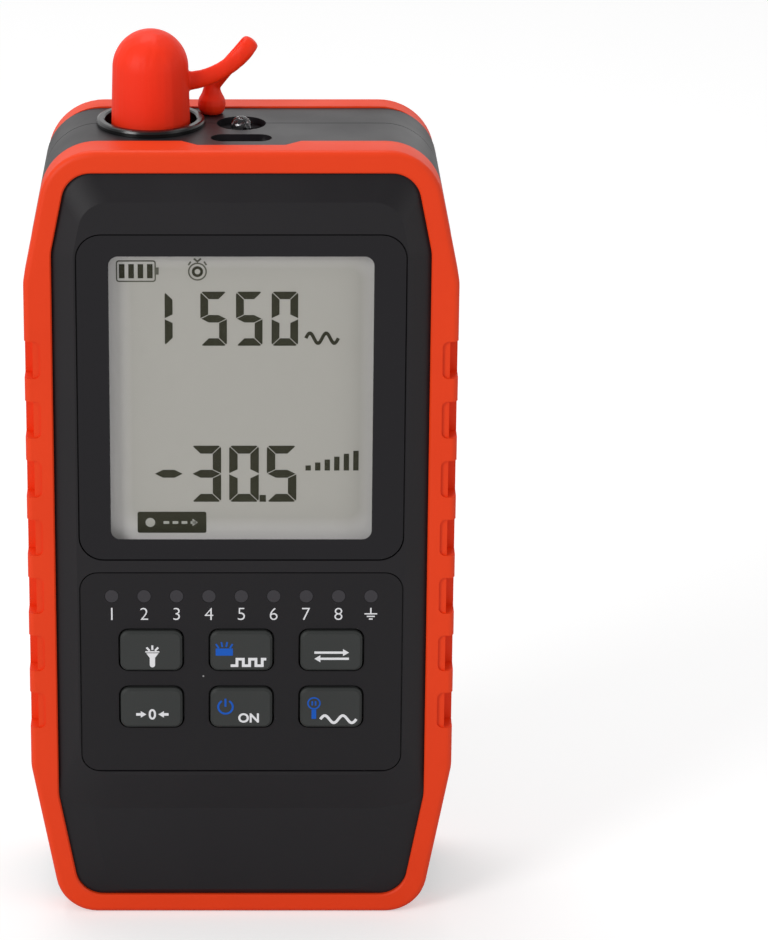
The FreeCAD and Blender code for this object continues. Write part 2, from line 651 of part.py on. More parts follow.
def lcd_gasket():
    outer = block(0, WINDOW_Z, VIEW_W + 4.6, VIEW_H + 4.2, GASKET_FRONT, GLASS_FRONT)
    inner = block(0, WINDOW_Z, VIEW_W + 2, VIEW_H + 2, GASKET_FRONT - 1, GLASS_FRONT + 1)
    return outer.cut(inner)


def lcd_glass():
    front = block(0, GLASS_Z, GLASS_W, GLASS_H, GLASS_FRONT, GLASS_FRONT + GLASS_T)
    back = block(0, BACK_PLATE_Z, GLASS_W, BACK_PLATE_H, GLASS_FRONT + GLASS_T, GLASS_BACK)
    return union([front, back])


def lcd_backlight():
    return block(0, BACK_PLATE_Z, LIGHT_W, LIGHT_H, GLASS_BACK + SEAT, LIGHT_BACK)


def zebra_strip():
    return block(0, ZEBRA_Z, ZEBRA_W, ZEBRA_T, GLASS_FRONT + GLASS_T + SEAT, BOARD_SET - SEAT)


def lcd_frame():
    """Moulded holder on the board for glass, light guide and contact strip."""
    width = GLASS_W + 2 * FIT
    height = GLASS_H + 2 * FIT
    outer = block(0, GLASS_Z, width + 2 * FRAME_WALL, height + 2 * FRAME_WALL, GLASS_FRONT, BOARD_SET - SEAT)
    nest = block(0, GLASS_Z, width, height, GLASS_FRONT - 1, GLASS_BACK + SEAT)
    light = block(0, BACK_PLATE_Z, LIGHT_W + 2 * FIT, LIGHT_H + 2 * FIT, GLASS_BACK, LIGHT_BACK + SEAT)
    strip = block(0, ZEBRA_Z, ZEBRA_W + 2 * FIT, ZEBRA_T + 2 * FIT, GLASS_FRONT, BOARD_SET)
    ledge = 2 * FRAME_LEDGE
    hollow = block(0, BACK_PLATE_Z, LIGHT_W - ledge, LIGHT_H - ledge, LIGHT_BACK, BOARD_SET)
    return outer.cut([nest, light, strip, hollow])


# ---------------------------------------------------------------- keypad
def key_places():
    return [(x, KEY_Z + row * KEY_PITCH_Z) for row in reversed(range(KEY_ROWS)) for x in KEY_X]


def keypad_overlay():
    plate = panel(0, OVERLAY_Z, OVERLAY_W, OVERLAY_H, OVERLAY_R, PANEL_SINK, PANEL_SINK + OVERLAY_T)
    holes = [panel(x, z, KEY_W + 2 * SLIP, KEY_H + 2 * SLIP, KEY_R + SLIP, -1, 2) for x, z in key_places()]
    holes += [rod(x, LAMP_Z, LAMP_R + SEAT, -1, 2) for x in LAMP_X]
    return plate.cut(holes)


STEM_END = BOARD_SET - DOME_H - KEY_TRAVEL - SEAT
FLANGE_FRONT = DECK_INNER + SEAT


def key(x, z):
    """Key cap with a soft edge, the flange that keeps it in, and the stem to its switch."""
    outline = rectangle(x, z, KEY_W, KEY_H)
    face = rectangle(x, z, KEY_W - 2 * KEY_EDGE, KEY_H - 2 * KEY_EDGE)
    shoulder = -KEY_PROUD + KEY_EDGE
    cap = hip((face, [KEY_R - KEY_EDGE] * 4, -KEY_PROUD), (outline, [KEY_R] * 4, shoulder))
    body = slab(outline, [KEY_R] * 4, shoulder, FLANGE_FRONT)
    flange = panel(x, z, KEY_W + 2 * KEY_FLANGE, KEY_H + 2 * KEY_FLANGE, KEY_R,
                   FLANGE_FRONT, FLANGE_FRONT + KEY_FLANGE_T)
    stem = rod(x, z, STEM_R, FLANGE_FRONT + KEY_FLANGE_T, STEM_END)
    return union([cap, body, flange, stem])


def keypad_mat():
    """Rubber mat with a hollow bellows round each key stem."""
    z = KEY_Z + KEY_PITCH_Z * (KEY_ROWS - 1) / 2
    front = BOARD_SET - SEAT - MAT_T
    tip = FLANGE_FRONT + KEY_FLANGE_T + KEY_TRAVEL + FIT
    inside = BELLOWS_BASE - BELLOWS_WALL
    forward = vec(0, -1, 0)
    bodies = [panel(0, z, MAT_W, MAT_H, 2.0, front, BOARD_SET - SEAT)]
    holes = []
    for x, height in key_places():
        base = vec(x, behind(front), height)
        rise = front - tip
        bodies.append(Part.makeCone(BELLOWS_BASE, BELLOWS_TOP, rise, base, forward))
        holes.append(Part.makeCone(inside, BELLOWS_TOP - BELLOWS_WALL, rise, base, forward))
        holes.append(rod(x, height, inside, front, BOARD_SET))
    return union(bodies).cut(holes)


def dome_switches():
    """Sprung metal domes on the board, one under each stem."""
    ball_r = (DOME_R ** 2 + DOME_H ** 2) / (2 * DOME_H)
    domes = []
    for x, z in key_places():
        ball = Part.makeSphere(ball_r, vec(x, behind(BOARD_SET - DOME_H) + ball_r, z))
        domes.append(ball.common(rod(x, z, DOME_R + 1, BOARD_SET - DOME_H - 1, BOARD_SET)))
    return Part.makeCompound(domes)


GUIDE_FRONT = DECK_INNER + SEAT
GUIDE_BACK = BOARD_SET - LAMP_CHIP_T - 0.25


def light_guide():
    """Clear comb: one bar with a light pipe from each lamp to the face."""
    span = LAMP_PITCH * (LAMPS - 1) + 2 * LAMP_R + 1.4
    bar = panel(0, LAMP_Z, span, GUIDE_H, 0.8, GUIDE_FRONT, GUIDE_FRONT + GUIDE_T)
    pipes = [rod(x, LAMP_Z, LAMP_R, PANEL_SINK, GUIDE_BACK) for x in LAMP_X]
    return union([bar] + pipes)


def indicator_leds():
    front = BOARD_SET - LAMP_CHIP_T
    return Part.makeCompound([block(x, LAMP_Z, LAMP_CHIP_W, LAMP_CHIP_H, front, BOARD_SET) for x in LAMP_X])


# ---------------------------------------------------------------- main board
def main_board():
    board = case_slab(BOARD_IN, BOARD_SET, BOARD_BACK)
    front = BOARD_SET - 1
    back = BOARD_BACK + 1
    cuts = [rod(x, z, CASE_BOSS_R + BOARD_CUT_R, front, back) for x, z in case_screw_places()]
    cuts += [rod(x, z, BOARD_SCREW_R + FIT, front, back) for x, z in board_screw_places()]
    # the corner beside the fibre port is cut away for its cup
    notch_low = TOP_FACE - CUP_DEEP - CUP_FLOOR - BOARD_CUT_R
    notch_right = PORT_X + CUP_R + BOARD_CUT_R
    corner = vec(-WIDTH / 2, behind(front), notch_low)
    cuts.append(Part.makeBox(notch_right + WIDTH / 2, back - front, HEIGHT - notch_low, corner))
    return board.cut(cuts)


def chip(place):
    x, z, width, height, thick = place
    return block(x, z, width, height, BOARD_BACK, BOARD_BACK + thick)


def leaded_chip(place, legs, pitch, reach):
    """Chip with a row of legs on two sides."""
    x, z, width, height, thick = place
    body = block(x, z, width, height, BOARD_BACK + 0.15, BOARD_BACK + thick)
    rows = []
    for i in range(legs):
        row_z = z + (i - (legs - 1) / 2) * pitch
        rows.append(block(x, row_z, width + 2 * reach, pitch / 2, BOARD_BACK, BOARD_BACK + 0.35))
    return union([body] + rows)


def buzzer():
    back = BOARD_BACK + BUZZER_T
    body = rod(BUZZER_X, BUZZER_Z, BUZZER_R, BOARD_BACK, back)
    return body.cut(rod(BUZZER_X, BUZZER_Z, BUZZER_HOLE_R, back - BUZZER_T / 3, back + 1))


# ---------------------------------------------------------------- battery
def battery_cell():
    cell = panel(0, CELL_Z, CELL_W, CELL_H, CELL_R, BACK_IN - PAD_T - CELL_T, BACK_IN - PAD_T)
    upright = [e for e in cell.Edges if e.BoundBox.YLength < 1e-3 and e.Length > CELL_W / 2]
    return cell.makeFillet(1.2, upright)


def battery_tape():
    return panel(0, CELL_Z, CELL_W - 2 * PAD_IN, CELL_H - 2 * PAD_IN, 0.5, BACK_IN - PAD_T, BACK_IN)


def battery_plug():
    x, z, width, height, thick = HEADER
    inset = 2 * PLUG_EDGE
    top = BOARD_BACK + thick
    return block(x, z, width - inset, height - inset, top - PLUG_DEEP, top + PLUG_OUT)


def battery_header():
    x, z, width, height, thick = HEADER
    body = block(x, z, width, height, BOARD_BACK, BOARD_BACK + thick)
    inset = 2 * (PLUG_EDGE - SEAT)
    top = BOARD_BACK + thick
    return body.cut(block(x, z, width - inset, height - inset, top - PLUG_DEEP - SEAT, top + 1))


def battery_leads():
    """Two leads from the plug over to the top edge of the cell."""
    x, z, width, height, thick = HEADER
    leave = BOARD_BACK + thick + PLUG_OUT
    run_depth = BACK_IN - PAD_T - CELL_T / 2
    cell_top = CELL_Z + CELL_H / 2
    leads = []
    for offset in (-CORD_PITCH / 2, CORD_PITCH / 2):
        start_x = x + offset
        end_x = -CELL_W / 2 + CORD_IN - offset
        level = cell_top + CORD_RISE - offset
        path = [vec(start_x, behind(leave), z), vec(start_x, behind(run_depth), z),
                vec(start_x, behind(run_depth), level), vec(end_x, behind(run_depth), level),
                vec(end_x, behind(run_depth), cell_top)]
        leads.append(bent_wire(path, CORD_R, CORD_BEND))
    return Part.makeCompound(leads)


def bent_wire(path, radius, bend):
    """Round wire along a path, with every corner bent to one radius."""
    pieces = []
    last = path[0]
    for i in range(1, len(path) - 1):
        to_last = (path[i - 1] - path[i]).normalize()
        to_next = (path[i + 1] - path[i]).normalize()
        turn = math.pi - to_last.getAngle(to_next)
        reach = bend * math.tan(turn / 2)
        start = path[i] + to_last * reach
        pieces.append(Part.makeCylinder(radius, (start - last).Length, last, to_last * -1))
        pivot = start + (to_last + to_next).normalize() * (bend / math.cos(turn / 2)) - to_last * reach
        ring = Part.Face(Part.Wire(Part.makeCircle(radius, start, to_last)))
        pieces.append(ring.revolve(pivot, to_next.cross(to_last), math.degrees(turn)))
        last = path[i] + to_next * reach
    pieces.append(Part.makeCylinder(radius, (path[-1] - last).Length, last, path[-1] - last))
    return union(pieces)


# ---------------------------------------------------------------- USB socket
USB_MOUTH = TOP_FACE - USB_SINK
USB_BACK = BOARD_SET - SEAT


def usb_block(shrink, low, high):
    depth = USB_BACK - USB_H / 2
    y = behind(depth)
    width = USB_W - 2 * shrink
    height = USB_H - 2 * shrink
    return Part.makeBox(width, height, high - low, vec(-width / 2, y - height / 2, low))


def usb_socket():
    shell = usb_block(0, USB_MOUTH - USB_L, USB_MOUTH)
    return shell.cut(usb_block(USB_METAL, USB_MOUTH - USB_L + USB_FLOOR, USB_MOUTH + 1))


def usb_blade():
    y = behind(USB_BACK - USB_H / 2)
    low = USB_MOUTH - USB_L + USB_FLOOR
    corner = vec(-BLADE_W / 2, y - BLADE_T / 2, low)
    return Part.makeBox(BLADE_W, BLADE_T, USB_MOUTH - BLADE_SINK - low, corner)


# ---------------------------------------------------------------- fibre port
BARREL_TOP = TOP_FACE + BARREL_H
SLEEVE_R = FERRULE_R + SLEEVE_T
SLEEVE_LOW = BARREL_TOP - MOUTH_T - SEAT - SLEEVE_L
DIODE_LOW = SLEEVE_LOW - SEAT - DIODE_H     # the sleeve stands on the photodiode


def port_collar():
    """Cup clamped between the covers, with a raised ring round its mouth."""
    soft = 0.4
    crown = TOP_FACE + RING_H
    profile = [
        (SPIGOT_R + SEAT, WELL_FLOOR - CUP_FLOOR), (CUP_R, WELL_FLOOR - CUP_FLOOR),
        (CUP_R, SADDLE_LOW - SEAT), (NECK_R, SADDLE_LOW - SEAT), (NECK_R, TOP_FACE + SEAT),
        (RING_R, TOP_FACE + SEAT), (RING_R, crown - soft), (RING_R - 0.3 * soft, crown - 0.3 * soft),
        (RING_R - soft, crown), (WELL_R + soft / 2, crown), (WELL_R, crown - soft / 2),
        (WELL_R, WELL_FLOOR), (SPIGOT_R + SEAT, WELL_FLOOR),
    ]
    return turned(profile, PORT_X, SEAM)


def port_adapter():
    """Metal receptacle: spigot, flange and threaded barrel, bored for sleeve and photodiode."""
    bore = SLEEVE_R + SEAT
    diode_top = DIODE_LOW + DIODE_H + SEAT
    profile = [
        (DIODE_R + SEAT, DIODE_LOW), (SPIGOT_R, DIODE_LOW), (SPIGOT_R, WELL_FLOOR + SEAT),
        (FLANGE_R, WELL_FLOOR + SEAT), (FLANGE_R, WELL_FLOOR + FLANGE_T), (BARREL_R, WELL_FLOOR + FLANGE_T),
        (BARREL_R, BARREL_TOP - 0.4), (BARREL_R - 0.4, BARREL_TOP), (MOUTH_R + 0.3, BARREL_TOP),
        (MOUTH_R, BARREL_TOP - 0.3), (MOUTH_R, BARREL_TOP - MOUTH_T), (bore, BARREL_TOP - MOUTH_T),
        (bore, diode_top), (DIODE_R + SEAT, diode_top),
    ]
    body = turned(profile, PORT_X, SEAM)
    wall = BARREL_R - bore
    keyway_y = behind(SEAM) - BARREL_R - 0.5
    keyway = Part.makeBox(KEYWAY_W, wall * 0.6 + 0.5, KEYWAY_H + 1,
                          vec(PORT_X - KEYWAY_W / 2, keyway_y, BARREL_TOP - KEYWAY_H))
    return body.cut(keyway)


def ferrule_sleeve():
    """Split ceramic sleeve that aligns the ferrule."""
    high = BARREL_TOP - MOUTH_T - SEAT
    low = SLEEVE_LOW
    ring = post(PORT_X, SEAM, SLEEVE_R, low, high).cut(post(PORT_X, SEAM, FERRULE_R, low - 1, high + 1))
    corner = vec(PORT_X - SLEEVE_SLIT / 2, behind(SEAM), low - 1)
    slit = Part.makeBox(SLEEVE_SLIT, SLEEVE_R + 1, SLEEVE_L + 2, corner)
    return ring.cut(slit)


def photodiode():
    can = post(PORT_X, SEAM, DIODE_R, DIODE_LOW, DIODE_LOW + DIODE_H)
    rim = post(PORT_X, SEAM, DIODE_R + 0.5, DIODE_LOW - 0.5, DIODE_LOW - SEAT)
    stem = post(PORT_X, SEAM, DIODE_R - 0.4, DIODE_LOW - 0.3, DIODE_LOW + 0.5)
    return union([can, rim, stem])


def board_leads(xs, high, drop):
    """Square leads that run down from a component and turn in to the board."""
    half = LEAD_T / 2
    leads = []
    for x in xs:
        down = Part.makeBox(LEAD_T, LEAD_T, drop, vec(x - half, behind(SEAM) - half, high - drop))
        reach = SEAM - BOARD_BACK
        along = Part.makeBox(LEAD_T, reach, LEAD_T, vec(x - half, behind(BOARD_BACK), high - drop))
        leads.append(union([down, along]))
    return Part.makeCompound(leads)


def photodiode_leads():
    return board_leads([PORT_X - LED_PITCH / 2, PORT_X + LED_PITCH / 2], DIODE_LOW - 0.5, 4.0)


# ---------------------------------------------------------------- torch lamp
LED_LOW = TOP_IN - SEAT - LED_RIM_T


def torch_led():
    """Clear domed lamp with a rim that stops it under the top wall."""
    dome = Part.makeSphere(LED_R, vec(0, behind(SEAM), TOP_FACE + LED_H - LED_R))
    body = post(0, SEAM, LED_R, LED_LOW, TOP_FACE + LED_H - LED_R)
    rim = post(0, SEAM, LED_RIM_R, LED_LOW, LED_LOW + LED_RIM_T)
    return union([dome, body, rim])


def torch_led_leads():
    return board_leads([-LED_PITCH / 2, LED_PITCH / 2], LED_LOW, 6.0)


# ---------------------------------------------------------------- network jack
JACK_FRONT = BOARD_BACK + SEAT
JACK_FACE = STEP + JACK_SINK
PLUG_FRONT = JACK_FRONT + PLUG_WALL


def network_jack():
    """Housing of an eight-way socket that opens downwards, with room for the plug's latch."""
    z = JACK_FACE + JACK_L / 2
    body = block(0, z, JACK_W, JACK_L, JACK_FRONT, JACK_FRONT + JACK_D - SEAT)
    cavity = block(0, JACK_FACE + PLUG_L / 2 - 0.5, PLUG_W, PLUG_L + 1, PLUG_FRONT, PLUG_FRONT + PLUG_D)
    latch = block(0, JACK_FACE + LATCH_L / 2 - 0.5, LATCH_W, LATCH_L + 1,
                  PLUG_FRONT + PLUG_D - 0.1, PLUG_FRONT + PLUG_D + LATCH_D)
    return body.cut([cavity, latch])


def jack_contacts():
    """Sprung wires that slant down into the socket."""
    start = JACK_FACE + 2.0
    end = JACK_FACE + PLUG_L - SEAT
    front = behind(PLUG_FRONT + SEAT)
    rise = front + CONTACT_RISE
    wires = []
    for i in range(CONTACTS):
        x = (i - (CONTACTS - 1) / 2) * CONTACT_PITCH
        spots = [(front, start), (front + CONTACT_T, start), (rise, end - 1.5), (rise, end),
                 (rise - CONTACT_T, end), (rise - CONTACT_T, end - 1.5)]
        face = Part.Face(Part.makePolygon([vec(x - CONTACT_T / 2, y, z) for y, z in spots + spots[:1]]))
        wires.append(face.extrude(vec(CONTACT_T, 0, 0)))
    return Part.makeCompound(wires)


# ---------------------------------------------------------------- dust cap
CAP_LOW = WELL_FLOOR + FLANGE_T + SEAT


def arc_spots(start, end, turn, count):
    """Places (x, z, slant) along the arc between two (x, z) points that ends with a given slant."""
    chord = math.atan2(end[1] - start[1], end[0] - start[0])
    reach = math.hypot(end[0] - start[0], end[1] - start[1])
    first = 2 * chord - turn
    spots = []
    for i in range(count):
        slant = first + (turn - first) * i / (count - 1)
        half = (slant - first) / 2
        length = reach * math.sin(half) / math.sin((turn - first) / 2)
        x = start[0] + length * math.cos(first + half)
        z = start[1] + length * math.sin(first + half)
        spots.append((x, z, slant))
    return spots


def strap_path():
    """Middle line of the strap as (point, slant, scale), from the cap round the fold to the neck."""
    turn = math.radians(FOLD_TURN)
    root = (PORT_X + CAP_R - 0.7, TOP_FACE + STRAP_Z)
    tip = (FOLD_X, TOP_FACE + FOLD_Z)
    neck = (ANCHOR_X, TOP_FACE + ANCHOR_H - 0.3)
    front_set = SEAM + FOLD_BACK
    path = []
    for i, (x, z, slant) in enumerate(arc_spots(root, tip, turn, 8)):
        share = i / 7
        eased = share * share * (3 - 2 * share)
        set_back = SEAM + STRAP_BACK + (FOLD_BACK - STRAP_BACK) * eased
        path.append((vec(x, behind(set_back), z), slant, 1 + STRAP_FLARE * (1 - share) ** 4))
    radius = FOLD_PITCH / 2
    for i in range(1, 6):
        angle = math.pi * i / 6
        out = radius * math.sin(angle)
        point = vec(tip[0] + out * math.cos(turn), behind(front_set + radius * (1 - math.cos(angle))),
                    tip[1] + out * math.sin(turn))
        path.append((point, turn, 1.0))
    back = list(reversed(arc_spots(neck, tip, turn, 7)))
    for i, (x, z, slant) in enumerate(back):
        share = i / 6
        eased = share * share * (3 - 2 * share)
        set_back = front_set + FOLD_PITCH + (ANCHOR_SET - front_set - FOLD_PITCH) * eased
        path.append((vec(x, behind(set_back), z), slant, 1.0))
    return path


def strap():
    """Strap of oval section, lofted through sections square to its path."""
    path = strap_path()
    wires = []
    for i, (point, slant, scale) in enumerate(path):
        before = path[max(i - 1, 0)][0]
        after = path[min(i + 1, len(path) - 1)][0]
        along = (after - before).normalize()
        across = vec(-math.sin(slant), 0, math.cos(slant))
        across = (across - along * across.dot(along)).normalize()
        ellipse = Part.Ellipse(point + across * (STRAP_W * scale / 2),
                               point + along.cross(across) * (STRAP_T * scale / 2), point)
        wires.append(Part.Wire(ellipse.toShape()))
    return Part.makeLoft(wires, True, False)


def dust_cap():
    """Silicone cap, strap and anchor, moulded as one piece."""
    top = TOP_FACE + CAP_TOP
    spring = top - CAP_DOME
    inside = BARREL_R + SLIP
    roof = BARREL_TOP + CAP_GAP
    rim = CAP_R - CAP_TAPER
    section = [(0, top), (0, roof), (inside, roof), (inside, CAP_LOW), (CAP_R, CAP_LOW), (rim, spring)]
    spots = [vec(PORT_X + r, behind(SEAM), z) for r, z in section]
    edges = [Part.LineSegment(a, b).toShape() for a, b in zip(spots, spots[1:])]
    centre = vec(PORT_X, behind(SEAM), spring)
    ellipse = Part.Ellipse(spots[0], spots[5], centre)
    edges.append(Part.ArcOfEllipse(ellipse, 0, math.pi / 2).toShape())
    cap = Part.Face(Part.Wire(edges)).revolve(vec(PORT_X, behind(SEAM), 0), vec(0, 0, 1), 360)
    # bulb on the top face, whose peg snaps into the rear cover
    face = TOP_FACE + SEAT
    peg = TOP_FACE - PEG_L
    bulb = turned([(0, peg), (PEG_R - 0.2, peg), (PEG_R, peg + 0.2), (PEG_R, face),
                   (ANCHOR_R - 0.4, face), (ANCHOR_R - 0.08, face + 0.7), (ANCHOR_R, face + 1.5),
                   (ANCHOR_R - 0.25, face + 2.3), (NECK_W, face + ANCHOR_H - 1.1),
                   (NECK_W, face + ANCHOR_H), (0, face + ANCHOR_H)],
                  ANCHOR_X, ANCHOR_SET)
    solid_cap = post(PORT_X, SEAM, inside, CAP_LOW - 1, roof)
    return cap.fuse(strap()).cut(solid_cap).fuse(bulb)


# ---------------------------------------------------------------- fasteners
def machine_screw(x, z, seat, shank_r, length, head_r, head_t):
    """Pan-head screw driven from behind, with a cross recess."""
    shank = rod(x, z, shank_r, seat - length, seat)
    head = rod(x, z, head_r, seat, seat + head_t)
    cross = [block(x, z, 2 * DRIVE_R, 0.5, seat + head_t - DRIVE_DEEP, seat + head_t + 1),
             block(x, z, 0.5, 2 * DRIVE_R, seat + head_t - DRIVE_DEEP, seat + head_t + 1)]
    return union([shank, head]).cut(cross)


def case_screws():
    size = (SEAM + CASE_HEAD_SEAT, CASE_SCREW_R, CASE_SCREW_L, CASE_HEAD_R, CASE_HEAD_T)
    return Part.makeCompound([machine_screw(x, z, *size) for x, z in case_screw_places()])


def board_screws():
    size = (BOARD_BACK, BOARD_SCREW_R, BOARD_SCREW_L, BOARD_HEAD_R, BOARD_HEAD_T)
    return Part.makeCompound([machine_screw(x, z, *size) for x, z in board_screw_places()])


# ---------------------------------------------------------------- build
KEY_NAMES = ("torch", "cont", "unit", "ref", "auto", "wave")


def main():
    os.makedirs("parts", exist_ok=True)
    makers = [front_cover, rear_cover, front_bumper, rear_bumper, display_window, keypad_overlay, lcd_gasket,
              lcd_glass, lcd_backlight, zebra_strip, lcd_frame, keypad_mat, dome_switches, light_guide,
              indicator_leds, main_board, buzzer, battery_cell, battery_tape, battery_plug, battery_header,
              battery_leads, usb_socket, usb_blade, port_collar, port_adapter, ferrule_sleeve, photodiode,
              photodiode_leads, torch_led, torch_led_leads, network_jack, jack_contacts, dust_cap,
              case_screws, board_screws]
    for maker in makers:
        save(maker.__name__, maker())
    save("processor_chip", leaded_chip(PROCESSOR, PROCESSOR_LEGS, 0.8, 1.0))
    save("amplifier_chip", leaded_chip(AMPLIFIER, AMPLIFIER_LEGS, 1.0, 0.8))
    save("charger_chip", chip(CHARGER))
    for name, (x, z) in zip(KEY_NAMES, key_places()):
        save("key_" + name, key(x, z))


main()
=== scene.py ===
# %% [markdown]
# # A handheld optical power meter
# The real instrument is a black plastic case in an orange rubber frame. It has a grey
# liquid-crystal display, six keys, nine small lamps, and a fibre port under a soft dust cap.
# The solids come from the CAD model. This lesson gives them their finishes, adds the printed
# marks and the display's segments, and sets up a plain studio with a camera.

# %% Load the frame
import math

import bmesh
import bpy
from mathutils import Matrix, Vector


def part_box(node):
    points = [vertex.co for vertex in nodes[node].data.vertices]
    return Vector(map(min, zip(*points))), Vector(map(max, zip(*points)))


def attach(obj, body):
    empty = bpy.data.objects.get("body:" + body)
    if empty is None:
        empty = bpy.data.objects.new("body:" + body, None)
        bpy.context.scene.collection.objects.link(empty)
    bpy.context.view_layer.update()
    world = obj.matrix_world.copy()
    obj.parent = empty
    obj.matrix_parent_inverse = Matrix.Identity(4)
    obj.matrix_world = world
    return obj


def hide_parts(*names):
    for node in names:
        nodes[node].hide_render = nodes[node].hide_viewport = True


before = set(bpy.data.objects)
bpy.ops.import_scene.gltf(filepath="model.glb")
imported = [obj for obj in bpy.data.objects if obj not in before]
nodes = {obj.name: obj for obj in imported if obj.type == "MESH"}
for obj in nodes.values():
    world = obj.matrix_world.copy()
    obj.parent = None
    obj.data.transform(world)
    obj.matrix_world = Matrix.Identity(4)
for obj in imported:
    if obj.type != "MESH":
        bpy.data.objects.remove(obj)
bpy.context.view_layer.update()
MM = 0.001
print("pieces from the CAD model:", len(nodes))


# %% [markdown]
# ## A few helpers
# Every finish, lamp and mesh below needs the same small steps: put an object in the scene,
# run its modifiers, or add shader nodes and link them. They are written once here, so that
# the later cells say what is made and not how Blender is told to make it.

# %% Object helpers
def show(name, data):
    """New object at the origin, put in the scene."""
    piece = bpy.data.objects.new(name, data)
    bpy.context.scene.collection.objects.link(piece)
    return piece


def plain_mesh(holder):
    """Mesh of an object with its modifiers run; the object itself is removed."""
    evaluated = bpy.context.evaluated_depsgraph_get()
    data = bpy.data.meshes.new_from_object(holder.evaluated_get(evaluated), depsgraph=evaluated)
    holder.modifiers.clear()
    bpy.data.objects.remove(holder)
    return data


# %% Node helpers
def add(tree, kind, **settings):
    """Adds a node; a setting that isn't a property of the node is the value of an input."""
    node = tree.nodes.new(kind)
    for name, value in settings.items():
        if hasattr(node, name):
            setattr(node, name, value)
        else:
            node.inputs[name.replace("_", " ")].default_value = value
    return node


def maths(tree, operation, second=0.5):
    """Adds a Math node and sets its second value."""
    node = add(tree, "ShaderNodeMath", operation=operation)
    node.inputs[1].default_value = second
    return node


def wire(tree, *rows):
    """Links rows of (node, output, node, input)."""
    for source, output, target, socket in rows:
        tree.links.new(source.outputs[output], target.inputs[socket])


def colour(red, green, blue):
    """Linear colour from the 0 to 255 values of a paint chart."""
    linear = []
    for value in (red, green, blue):
        share = value / 255
        linear.append(share / 12.92 if share <= 0.04045 else ((share + 0.055) / 1.055) ** 2.4)
    return (*linear, 1.0)


print("helpers ready")


# %% [markdown]
# ## Camera and studio
# A product is best seen from a little above, through a long lens that keeps its upright
# edges nearly parallel. A sideways lens shift places the case left of the middle
# without turning the camera, so that it is still seen square on.

# %% Camera
LENS = 175.5
TILT = math.radians(90 - 20.5)
CAMERA_AT = (0, -0.6511, 0.3112)

camera_data = bpy.data.cameras.new("studio_camera")
camera_data.lens = LENS
camera_data.sensor_width = 36
camera_data.shift_x = 0.1518
camera = show("studio_camera", camera_data)
camera.location = CAMERA_AT
camera.rotation_euler = (TILT, 0, 0)
bpy.context.scene.camera = camera
bpy.context.scene.view_settings.view_transform = "Standard"
print("camera distance:", round(Vector(CAMERA_AT).length, 3), "m")


# %% [markdown]
# ## Light
# Soft light comes from large panels. The main one stands to the left, so the right side of
# the frame and of the cap turns darker, and a weak one on the right keeps it from going dull.
# A lamp's power falls with the square of its distance, so it is worked out from the
# brightness that a white card would have at the object.

# %% Lamps
TARGET = Vector((0, 0, 0.07))


def soft_panel(name, place, size, level):
    """Area lamp aimed at the object; level is the brightness it gives a white card there."""
    distance = (Vector(place) - TARGET).length
    data = bpy.data.lights.new(name, "AREA")
    data.shape = "DISK"
    data.size = size
    data.energy = level * math.pi ** 2 * distance ** 2
    lamp = show(name, data)
    lamp.location = place
    lamp.rotation_euler = (TARGET - Vector(place)).to_track_quat("-Z", "Y").to_euler()
    print(name, "power:", round(data.energy, 2), "W")


soft_panel("main_panel", (-0.75, -0.75, 0.55), 0.5, 0.42)
soft_panel("fill_panel", (0.8, -0.55, 0.3), 0.6, 0.1)
soft_panel("top_panel", (-0.1, 0.25, 0.95), 0.5, 0.3)


# %% [markdown]
# ## World and floor
# The backdrop is white. The light that the world gives is kept at a plain level, and only
# what the camera sees directly, or in a reflection, is raised to white with the Light Path
# node. A studio is dim behind the camera, so what faces the front mirrors less white than
# the top does: the mirrored level follows the direction's Y. The floor is a pale card that
# keeps the soft shadow at the foot of the case.

# %% World
WORLD_LEVEL = 0.5
MIRRORED_FRONT = 0.3

world = bpy.data.worlds.new("studio_world")
bpy.context.scene.world = world
world.use_nodes = True
tree = world.node_tree
background = tree.nodes["Background"]
rays = add(tree, "ShaderNodeLightPath")
direction = add(tree, "ShaderNodeTexCoord")
parts = add(tree, "ShaderNodeSeparateXYZ")
depth = add(tree, "ShaderNodeMapRange", interpolation_type="SMOOTHSTEP", From_Min=-0.25,
            From_Max=0.45, To_Min=MIRRORED_FRONT)
mirrored = maths(tree, "MULTIPLY")
diffuse = maths(tree, "MULTIPLY", WORLD_LEVEL)
seen = maths(tree, "MAXIMUM")
either = maths(tree, "MAXIMUM")
total = maths(tree, "MAXIMUM")
wire(tree, (direction, "Generated", parts, 0), (parts, "Y", depth, "Value"),
     (rays, "Is Glossy Ray", mirrored, 0), (depth, "Result", mirrored, 1),
     (rays, "Is Camera Ray", seen, 0), (rays, "Is Transmission Ray", seen, 1),
     (seen, 0, either, 0), (mirrored, 0, either, 1), (rays, "Is Diffuse Ray", diffuse, 0),
     (either, 0, total, 0), (diffuse, 0, total, 1), (total, 0, background, "Strength"))
background.inputs["Color"].default_value = (1, 1, 1, 1)
print("world level:", WORLD_LEVEL)

# %% Floor
FLOOR_HALF = 3.0
CARD_LIFT = 0.42

